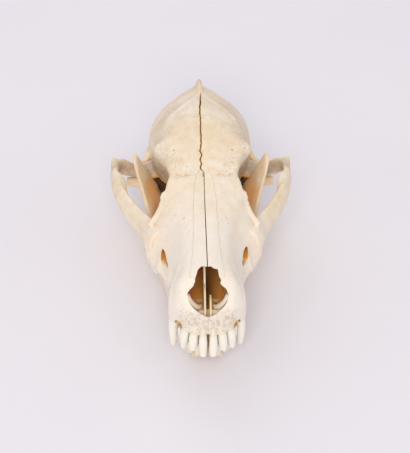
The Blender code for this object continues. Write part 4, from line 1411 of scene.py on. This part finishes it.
def dried_bone(colours):
    """Degreased compact bone, boiled and sun-dried: matt, ivory, mottled where fat has stayed."""
    made, tree, shader = new_material("dried bone", 0.58, 1.54)
    where = add_node(tree, "TexCoord").outputs["Object"]
    along = add_node(tree, "SeparateXYZ", inputs={"Vector": where}).outputs["Y"]
    marks = add_node(tree, "Attribute", {"attribute_name": "marks"}).outputs
    parts = add_node(tree, "SeparateColor", inputs={"Color": marks["Color"]}).outputs
    stain_and_painted_shade, grey_and_painted_shade, bend, porous = parts[0], parts[1], parts[2], marks["Alpha"]
    # Cloudy patches: size in millimetres, detail, and the noise that counts as 0 and as 1
    patch = {}
    for name, size, detail, low, high in (
        ("wide", 18, 3, 0.35, 0.7),
        ("small", 5, 4, 0.4, 0.72),
        ("fine", 1.2, 2, 0.52, 0.75),
        ("grey_and_painted_shade", 3, 4, 0.3, 0.7),
        ("stain_and_painted_shade", 4, 3, 0.3, 0.7),
        ("speck", 1.5, 3, 0.46, 0.66),
        ("pore", 9, 2, 0.45, 0.6),
    ):
        inputs = {"Vector": where, "Scale": 1000 / size, "Detail": detail}
        cloud = add_node(tree, "TexNoise", inputs=inputs).outputs["Fac"]
        inputs = {"Value": cloud, "From Min": low, "From Max": high}
        patch[name] = add_node(tree, "MapRange", inputs=inputs).outputs["Result"]
    # What follows from one of these: its source, the two ends there, and what they become.
    # The face has bleached more than the braincase, over some 50 mm, and thin fatty bone round
    # the nose and the canals lets light through, a few millimetres deep
    run = {}
    for name, source, start, end, low, high in (
        ("bleach", along, 0.01, -0.04, 0, 0.75),
        ("ridge", bend, 0.56, 0.9, 0, 1),
        ("hollow", bend, 0.42, 0.08, 0, 1),
        ("thin", patch["grey_and_painted_shade"], 0, 1, 0.55, 1),
        ("uneven", patch["stain_and_painted_shade"], 0, 1, 0.75, 1),
        ("dirt_and_painted_shade", stain_and_painted_shade, 0.95, 1.5, 0, 1),
        ("pore size", porous, 0, 1, 0.05, 0.2),
        ("dry", patch["small"], 0, 1, 0.5, 0.68),
        ("lit", stain_and_painted_shade, 0.3, 1, 0.12, 0.9),
        ("lit depth", stain_and_painted_shade, 0.3, 1, 0.0015, 0.011),
    ):
        inputs = {"Value": source, "From Min": start, "From Max": end, "To Min": low, "To Max": high}
        run[name] = add_node(tree, "MapRange", inputs=inputs).outputs["Result"]
    # Pores of about 0.4 mm, some 2 mm apart, thick where the bone is porous
    inputs = {"Vector": where, "Scale": 1000 / 2.2, "Randomness": 1.0}
    cells = add_node(tree, "TexVoronoi", inputs=inputs).outputs["Distance"]
    inputs = {"Value": cells, "From Min": run["pore size"], "From Max": 0.0}
    dots = add_node(tree, "MapRange", inputs=inputs).outputs["Result"]
    few = add_node(tree, "Math", {"operation": "MULTIPLY"}, {0: patch["pore"], 1: 0.7}).outputs[0]
    many = add_node(tree, "Math", {"operation": "MAXIMUM"}, {0: few, 1: porous}).outputs[0]
    pore = add_node(tree, "Math", {"operation": "MULTIPLY"}, {0: dots, 1: many}).outputs[0]
    layers = (
        # Wide and small patches of cream in the ivory
        (colours.cream, patch["wide"], 0.75),
        (linear("E3C598"), patch["small"], 0.5),
        (linear("F4ECE0"), run["bleach"]),
        # Grain of the outer layer, drawn at 1.2 mm so that it shows
        (linear("C9A877"), patch["fine"], 0.18),
        # Ridges are worn to a warmer yellow, and hollows are darkened brown as painted shade with some dust
        (linear("EFD6A6"), run["ridge"], 0.3),
        (linear("9C7340"), run["hollow"], 0.75),
        # Grey, which is thin bone in places and painted shade in others, and stain with painted shade,
        # amber up to 1 and umber beyond it
        (colours.grey_and_painted_shade, grey_and_painted_shade, run["thin"]),
        (colours.amber, stain_and_painted_shade, run["uneven"]),
        (colours.umber, run["dirt_and_painted_shade"]),
        # Spongy bone shows through in specks, and pores are dark
        (linear("A08B74"), patch["speck"], porous, 0.3),
        (linear("7A5730"), pore, 0.42),
    )
    tree.links.new(overlay(tree, (*colours.ivory, 1), layers), shader.inputs["Base Color"])
    # Dry patches scatter more light than polished ones
    tree.links.new(run["dry"], shader.inputs["Roughness"])
    # Grain of 0.9 mm in the surface, and the pores sunk in it
    inputs = {"Vector": where, "Scale": 1000 / 0.9, "Detail": 3.0}
    grain = add_node(tree, "TexNoise", inputs=inputs).outputs["Fac"]
    inputs = {0: pore, 1: -1.6, 2: grain}
    height = add_node(tree, "Math", {"operation": "MULTIPLY_ADD"}, inputs).outputs[0]
    inputs = {"Height": height, "Strength": 0.5, "Distance": 0.00012}
    bump = add_node(tree, "Bump", inputs=inputs).outputs["Normal"]
    tree.links.new(bump, shader.inputs["Normal"])
    tree.links.new(run["lit"], shader.inputs["Subsurface Weight"])
    tree.links.new(run["lit depth"], shader.inputs["Subsurface Scale"])
    shader.inputs["Subsurface Radius"].default_value = (1.0, 0.55, 0.2)
    shader.inputs["Specular IOR Level"].default_value = 0.35
    return made


def tooth_enamel(colours):
    """Tooth enamel: white and glossy on the crown, yellowed and duller at the neck."""
    made, tree, shader = new_material("tooth enamel", 0.28, 1.62)
    where = add_node(tree, "TexCoord").outputs["Object"]
    marks = add_node(tree, "Attribute", {"attribute_name": "marks"}).outputs
    neck = add_node(tree, "SeparateColor", inputs={"Color": marks["Color"]}).outputs[0]
    # Fine lines down the crown, drawn 0.8 mm apart so that they show
    stretch = add_node(tree, "Mapping", inputs={"Vector": where, "Scale": (1.0, 1.0, 0.18)})
    inputs = {"Vector": stretch.outputs[0], "Scale": 1000 / 0.8, "Detail": 2.0}
    lines = add_node(tree, "TexNoise", inputs=inputs).outputs["Fac"]
    inputs = {"Value": lines, "From Min": 0.4, "From Max": 0.8, "To Max": 0.3}
    shade = add_node(tree, "MapRange", inputs=inputs).outputs["Result"]
    layers = ((linear("EADFC6"), shade), (colours.neck, neck))
    tree.links.new(overlay(tree, (*colours.enamel, 1), layers), shader.inputs["Base Color"])
    rough = add_node(tree, "MapRange", inputs={"Value": neck, "To Min": 0.26, "To Max": 0.5})
    tree.links.new(rough.outputs["Result"], shader.inputs["Roughness"])
    inputs = {"Height": lines, "Strength": 0.25, "Distance": 0.0001}
    bump = add_node(tree, "Bump", inputs=inputs).outputs["Normal"]
    tree.links.new(bump, shader.inputs["Normal"])
    shader.inputs["Subsurface Weight"].default_value = 0.15
    shader.inputs["Subsurface Radius"].default_value = (1.0, 0.8, 0.6)
    shader.inputs["Subsurface Scale"].default_value = 0.001
    return made


def matt_paper(plain):
    """A roll of matt background paper, with the faint cloudiness of pressed fibre."""
    made, tree, shader = new_material("matt paper", 0.9, 1.45)
    where = add_node(tree, "TexCoord").outputs["Object"]
    # Clouds of about 110 mm
    fibre = add_node(tree, "TexNoise", inputs={"Vector": where, "Scale": 9.0, "Detail": 2.0})
    layers = ((linear("EAE6EA"), fibre.outputs["Fac"]),)
    tree.links.new(overlay(tree, (*plain, 1), layers), shader.inputs["Base Color"])
    shader.inputs["Specular IOR Level"].default_value = 0.1
    return made


def lay_in_place(piece):
    """Moves a finished mesh from the skull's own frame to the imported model's, onto the table."""
    tilt = Matrix.Rotation(-math.radians(JAW_TILT), 4, "X")
    piece.data.transform(Matrix.Translation(Vector(PLACE) * MM) @ tilt)
    for vert in piece.data.vertices:
        vert.co.z = max(vert.co.z, 0.0)
    piece.data.update()


def finish_piece(piece, nodes, material, crease):
    """Gives a piece its finish, its place in the frame and the solids that it stands for."""
    lay_in_place(piece)
    piece.data.materials.clear()
    piece.data.materials.append(material)
    piece.data.shade_smooth()
    piece.data.set_sharp_from_angle(angle=math.radians(crease))
    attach(piece, BODY)
    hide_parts(*nodes)


def material_named(name, make):
    return bpy.data.materials.get(name) or make(bpy.context.scene.skull_colours)


class SKULL_OT_upper_bones(bpy.types.Operator):
    """The braincase, the cheek bones and the bones of the face"""

    bl_idname = "skull.upper_bones"
    bl_label = "Upper bones"

    def execute(self, context):
        shape = context.scene.skull_shape
        bm = bmesh.new()
        add_skull_form(bm)
        add_crests(bm)
        add_beak(bm)
        for build in (add_arch, add_orbit_rim, add_ear_and_joint, add_pterygoid, add_nuchal_edge):
            both_sides(bm, build)
        skull = grow_together(object_from("cranium", bm), shape.grain, SOFTENING)
        waver(skull, shape.waver)
        rims = tuple(socket_rims(UPPER_BLADES, UPPER_SOCKETS))
        relieve(skull, UPPER_RELIEFS + rims, (1, -1))
        relieve(skull, pits_as_reliefs(UPPER_PITS), (1, -1))
        relieve(skull, pits_as_reliefs(SINGLE_PITS), (1,))
        for build in (cut_cavity, cut_nose_opening, cut_foramen_magnum, cut_choana):
            combine(skull, "DIFFERENCE", made_by("cutter", build))
        for side in (1, -1):
            for build in (cut_palatine_fissure, cut_canine_notch, cut_ear, cut_glenoid):
                combine(skull, "DIFFERENCE", made_by("cutter", build, side))
            drop = RIGHT_CANAL_DROP if side < 0 else 0
            canal = made_by("cutter", lambda bm: cut_infraorbital_canal(bm, drop), side)
            combine(skull, "DIFFERENCE", canal)
        depth = shape.crack_depth / MM
        combine(skull, "DIFFERENCE", made_by("cutter", lambda bm: cut_crack(bm, depth)))
        combine(skull, "UNION", made_by("septum", add_septum))
        for side in (1, -1):
            combine(skull, "UNION", made_by("sill", add_nose_sill, side))
        keep_largest(skull)
        seam = shape.seam / MM
        bones = halves(take(skull, "nasal", nasal_region, seam), "nasal", shape.nasal_seam / MM)
        for side, word in SIDES:
            bones["zygomatic_" + word] = take(skull, "zygomatic_" + word, cheek_region, seam, side)
        face = take(skull, "face", face_region, seam)
        bones.update(halves(take(face, "premaxilla", incisor_region, seam), "premaxilla", seam))
        bones.update(halves(face, "maxilla", seam))
        bones["braincase"] = keep_largest(skull)
        material = material_named("dried bone", dried_bone)
        for name, bone in bones.items():
            mark(bone, STAINS_AND_PAINTED_SHADE, GREYS_AND_PAINTED_SHADE, POROUS)
            if name == "braincase":
                mark_crack(bone)
            bone.name = bone.data.name = name + "_bone"
            finish_piece(bone, [name], material, BONE_CREASE)
        return {"FINISHED"}


class SKULL_OT_jaw_bones(bpy.types.Operator):
    """The two halves of the lower jaw"""

    bl_idname = "skull.jaw_bones"
    bl_label = "Jaw bones"

    def execute(self, context):
        shape = context.scene.skull_shape
        material = material_named("dried bone", dried_bone)
        for side, word in SIDES:
            name = "mandible_" + word
            jaw = made_by(name, add_jaw, side)
            grow_together(jaw, shape.grain * JAW_GRAIN, SOFTENING)
            waver(jaw, shape.waver)
            rims = tuple(socket_rims(LOWER_BLADES, LOWER_NECKS))
            relieve(jaw, LOWER_RELIEFS + rims, (side,))
            relieve(jaw, pits_as_reliefs(LOWER_PITS), (side,))
            inner = made_by("region", lambda bm: half_space(bm, JAW_SEAM), side)
            combine(jaw, "INTERSECT", inner)
            keep_largest(jaw)
            mark(jaw, JAW_STAINS_AND_PAINTED_SHADE, JAW_GREYS, JAW_POROUS)
            jaw.name = jaw.data.name = name + "_bone"
            finish_piece(jaw, [name], material, BONE_CREASE)
        return {"FINISHED"}


def tooth_row(name, node, side, pegs, blades, sign, level, levels, material):
    """All teeth of one bone as one piece, each a closed form that reaches into its socket."""
    bm = bmesh.new()
    for path, widths, depths in pegs:
        add_side(bm, lambda half: bar(half, path, widths, depths, (0, 1, 0.2), 12, 4), side)
    for size in blades:
        add_side(bm, lambda half: blade_tooth(half, size, sign, level), side)
    row = object_from(name, bm)
    smooth = row.modifiers.new("crowns", "SUBSURF")
    smooth.levels = smooth.render_levels = levels
    settle(row)
    places, normals = places_of(row.data)
    paint = np.zeros((len(places), 4))
    necks = places[:, 2] * sign - level * sign
    paint[:, 0] = NECK_STAIN * (1 - necks / NECK_HEIGHT).clip(0, 1) ** 2
    layer = row.data.color_attributes.new("marks", "FLOAT_COLOR", "POINT")
    layer.data.foreach_set("color", paint.ravel())
    finish_piece(row, [node], material, TOOTH_CREASE)


class SKULL_OT_upper_teeth(bpy.types.Operator):
    """Incisors, canines, premolars and molars of the upper jaw"""

    bl_idname = "skull.upper_teeth"
    bl_label = "Upper teeth"

    def execute(self, context):
        levels = context.scene.skull_shape.tooth_levels
        material = material_named("tooth enamel", tooth_enamel)
        for side, word in SIDES:
            incisors = (UPPER_PEGS[:3], (), -1, INCISOR_NECKS)
            others = (UPPER_PEGS[3:], UPPER_BLADES, -1, UPPER_NECKS)
            for name, bone, teeth in (
                ("upper_incisors_", "premaxilla_", incisors),
                ("upper_cheek_teeth_", "maxilla_", others),
            ):
                tooth_row(name + word, bone + word, side, *teeth, levels, material)
        return {"FINISHED"}


class SKULL_OT_lower_teeth(bpy.types.Operator):
    """Incisors, canines, premolars and molars of the lower jaw"""

    bl_idname = "skull.lower_teeth"
    bl_label = "Lower teeth"

    def execute(self, context):
        levels = context.scene.skull_shape.tooth_levels
        material = material_named("tooth enamel", tooth_enamel)
        for side, word in SIDES:
            teeth = (LOWER_PEGS, LOWER_BLADES, 1, LOWER_NECKS)
            tooth_row("lower_teeth_" + word, "mandible_" + word, side, *teeth, levels, material)
        return {"FINISHED"}


# The camera: angles in degrees, distance and target in the skull's own frame, pixels per
# millimetre at the target, and where in the picture the target lies
CAMERA_RISE = 37.4
CAMERA_TURN = -2.6
CAMERA_ROLL = -0.97
CAMERA_DISTANCE = 900.0
CAMERA_TARGET = (0, 86, 20)
PIXELS_PER_MM = 1.773
TARGET_PIXEL = (203.0, 206.2)
PICTURE = (410, 453)


def add_camera():
    """The camera as it stood for the photograph."""
    rise, turn, roll = map(math.radians, (CAMERA_RISE, CAMERA_TURN, CAMERA_ROLL))
    flat = math.cos(rise)
    back = Vector((math.sin(turn) * flat, -math.cos(turn) * flat, math.sin(rise)))
    across = Vector((math.cos(turn), math.sin(turn), 0))
    up = back.cross(across)
    right = across * math.cos(roll) - up * math.sin(roll)
    top = across * math.sin(roll) + up * math.cos(roll)
    turned = Matrix((right, top, back)).transposed().to_4x4()
    turned.translation = (Vector(CAMERA_TARGET) + back * CAMERA_DISTANCE) * MM
    tilt = Matrix.Rotation(-math.radians(JAW_TILT), 4, "X")
    data = bpy.data.cameras.new("camera")
    camera = bpy.data.objects.new("camera", data)
    bpy.context.scene.collection.objects.link(camera)
    camera.matrix_world = Matrix.Translation(Vector(PLACE) * MM) @ tilt @ turned
    wide, high = PICTURE
    data.sensor_width = 36
    data.lens = PIXELS_PER_MM * CAMERA_DISTANCE / high * data.sensor_width
    data.shift_x = (wide / 2 - TARGET_PIXEL[0]) / high
    data.shift_y = (TARGET_PIXEL[1] - high / 2) / high
    bpy.context.scene.camera = camera


def add_softbox(name, place, size, power, colour):
    """A large square light that looks at the skull."""
    data = bpy.data.lights.new(name, "AREA")
    data.shape = "SQUARE"
    data.size = size
    data.energy = power
    data.color = colour
    lamp = bpy.data.objects.new(name, data)
    bpy.context.scene.collection.objects.link(lamp)
    lamp.location = place
    lamp.rotation_mode = "QUATERNION"
    lamp.rotation_quaternion = (Vector(place) - Vector(LIT_PLACE)).to_track_quat("Z", "Y")


class SKULL_OT_stage(bpy.types.Operator):
    """The table, the soft light and the camera"""

    bl_idname = "skull.stage"
    bl_label = "Stage"

    def execute(self, context):
        look = context.scene.stage_look
        bm = bmesh.new()
        bmesh.ops.create_grid(bm, x_segments=1, y_segments=1, size=TABLE_REACH)
        mesh = bpy.data.meshes.new("table")
        bm.to_mesh(mesh)
        bm.free()
        table = bpy.data.objects.new("table", mesh)
        context.scene.collection.objects.link(table)
        mesh.materials.append(matt_paper(look.table))
        table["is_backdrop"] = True
        world = bpy.data.worlds.new("room")
        world.use_nodes = True
        sky = world.node_tree.nodes["Background"]
        sky.inputs["Color"].default_value = (*linear("F4F3FA"), 1)
        sky.inputs["Strength"].default_value = look.sky
        context.scene.world = world
        context.scene.view_settings.view_transform = "Standard"
        add_softbox("key", KEY_PLACE, KEY_SIZE, look.key, linear("FFFBF4"))
        add_softbox("fill", FILL_PLACE, FILL_SIZE, look.fill, linear("FBFBFF"))
        add_camera()
        return {"FINISHED"}


class SKULL_PT_panel(bpy.types.Panel):
    """Lists the steps that build the skull"""

    bl_label = "Dog skull"
    bl_idname = "SKULL_PT_panel"
    bl_space_type = "VIEW_3D"
    bl_region_type = "UI"
    bl_category = "Skull"

    def draw(self, context):
        layout = self.layout
        for step in STEPS:
            layout.operator(step.bl_idname)
        scene = context.scene
        for group in (scene.skull_shape, scene.skull_colours, scene.stage_look):
            for name in group.__annotations__:
                layout.prop(group, name)


STEPS = (
    SKULL_OT_upper_bones,
    SKULL_OT_jaw_bones,
    SKULL_OT_upper_teeth,
    SKULL_OT_lower_teeth,
    SKULL_OT_stage,
)
GROUPS = (SkullShape, SkullColours, StageLook)


def register():
    for kind in GROUPS + STEPS + (SKULL_PT_panel,):
        bpy.utils.register_class(kind)
    bpy.types.Scene.skull_shape = PointerProperty(type=SkullShape)
    bpy.types.Scene.skull_colours = PointerProperty(type=SkullColours)
    bpy.types.Scene.stage_look = PointerProperty(type=StageLook)


def unregister():
    del bpy.types.Scene.stage_look
    del bpy.types.Scene.skull_colours
    del bpy.types.Scene.skull_shape
    for kind in reversed(GROUPS + STEPS + (SKULL_PT_panel,)):
        bpy.utils.unregister_class(kind)


def fit_in_box(box):
    """Draws the pieces in by hair's breadths where the finer surfaces pass the solids' box."""
    low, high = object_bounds()
    scale, shift = [1.0] * 3, [0.0] * 3
    for axis in range(3):
        wanted_low, wanted_high = max(low[axis], box[0][axis]), min(high[axis], box[1][axis])
        scale[axis] = (wanted_high - wanted_low) / (high[axis] - low[axis])
        shift[axis] = wanted_low - low[axis] * scale[axis]
    fit = Matrix.Translation(shift) @ Matrix.Diagonal((*scale, 1))
    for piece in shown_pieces():
        if not piece.hide_render:
            piece.data.transform(fit)


def main():
    register()
    for step in STEPS:
        kind, name = step.bl_idname.split(".")
        getattr(getattr(bpy.ops, kind), name)()
    fit_in_box(cad_box)
    bpy.context.view_layer.update()


if __name__ == "__main__":
    main()
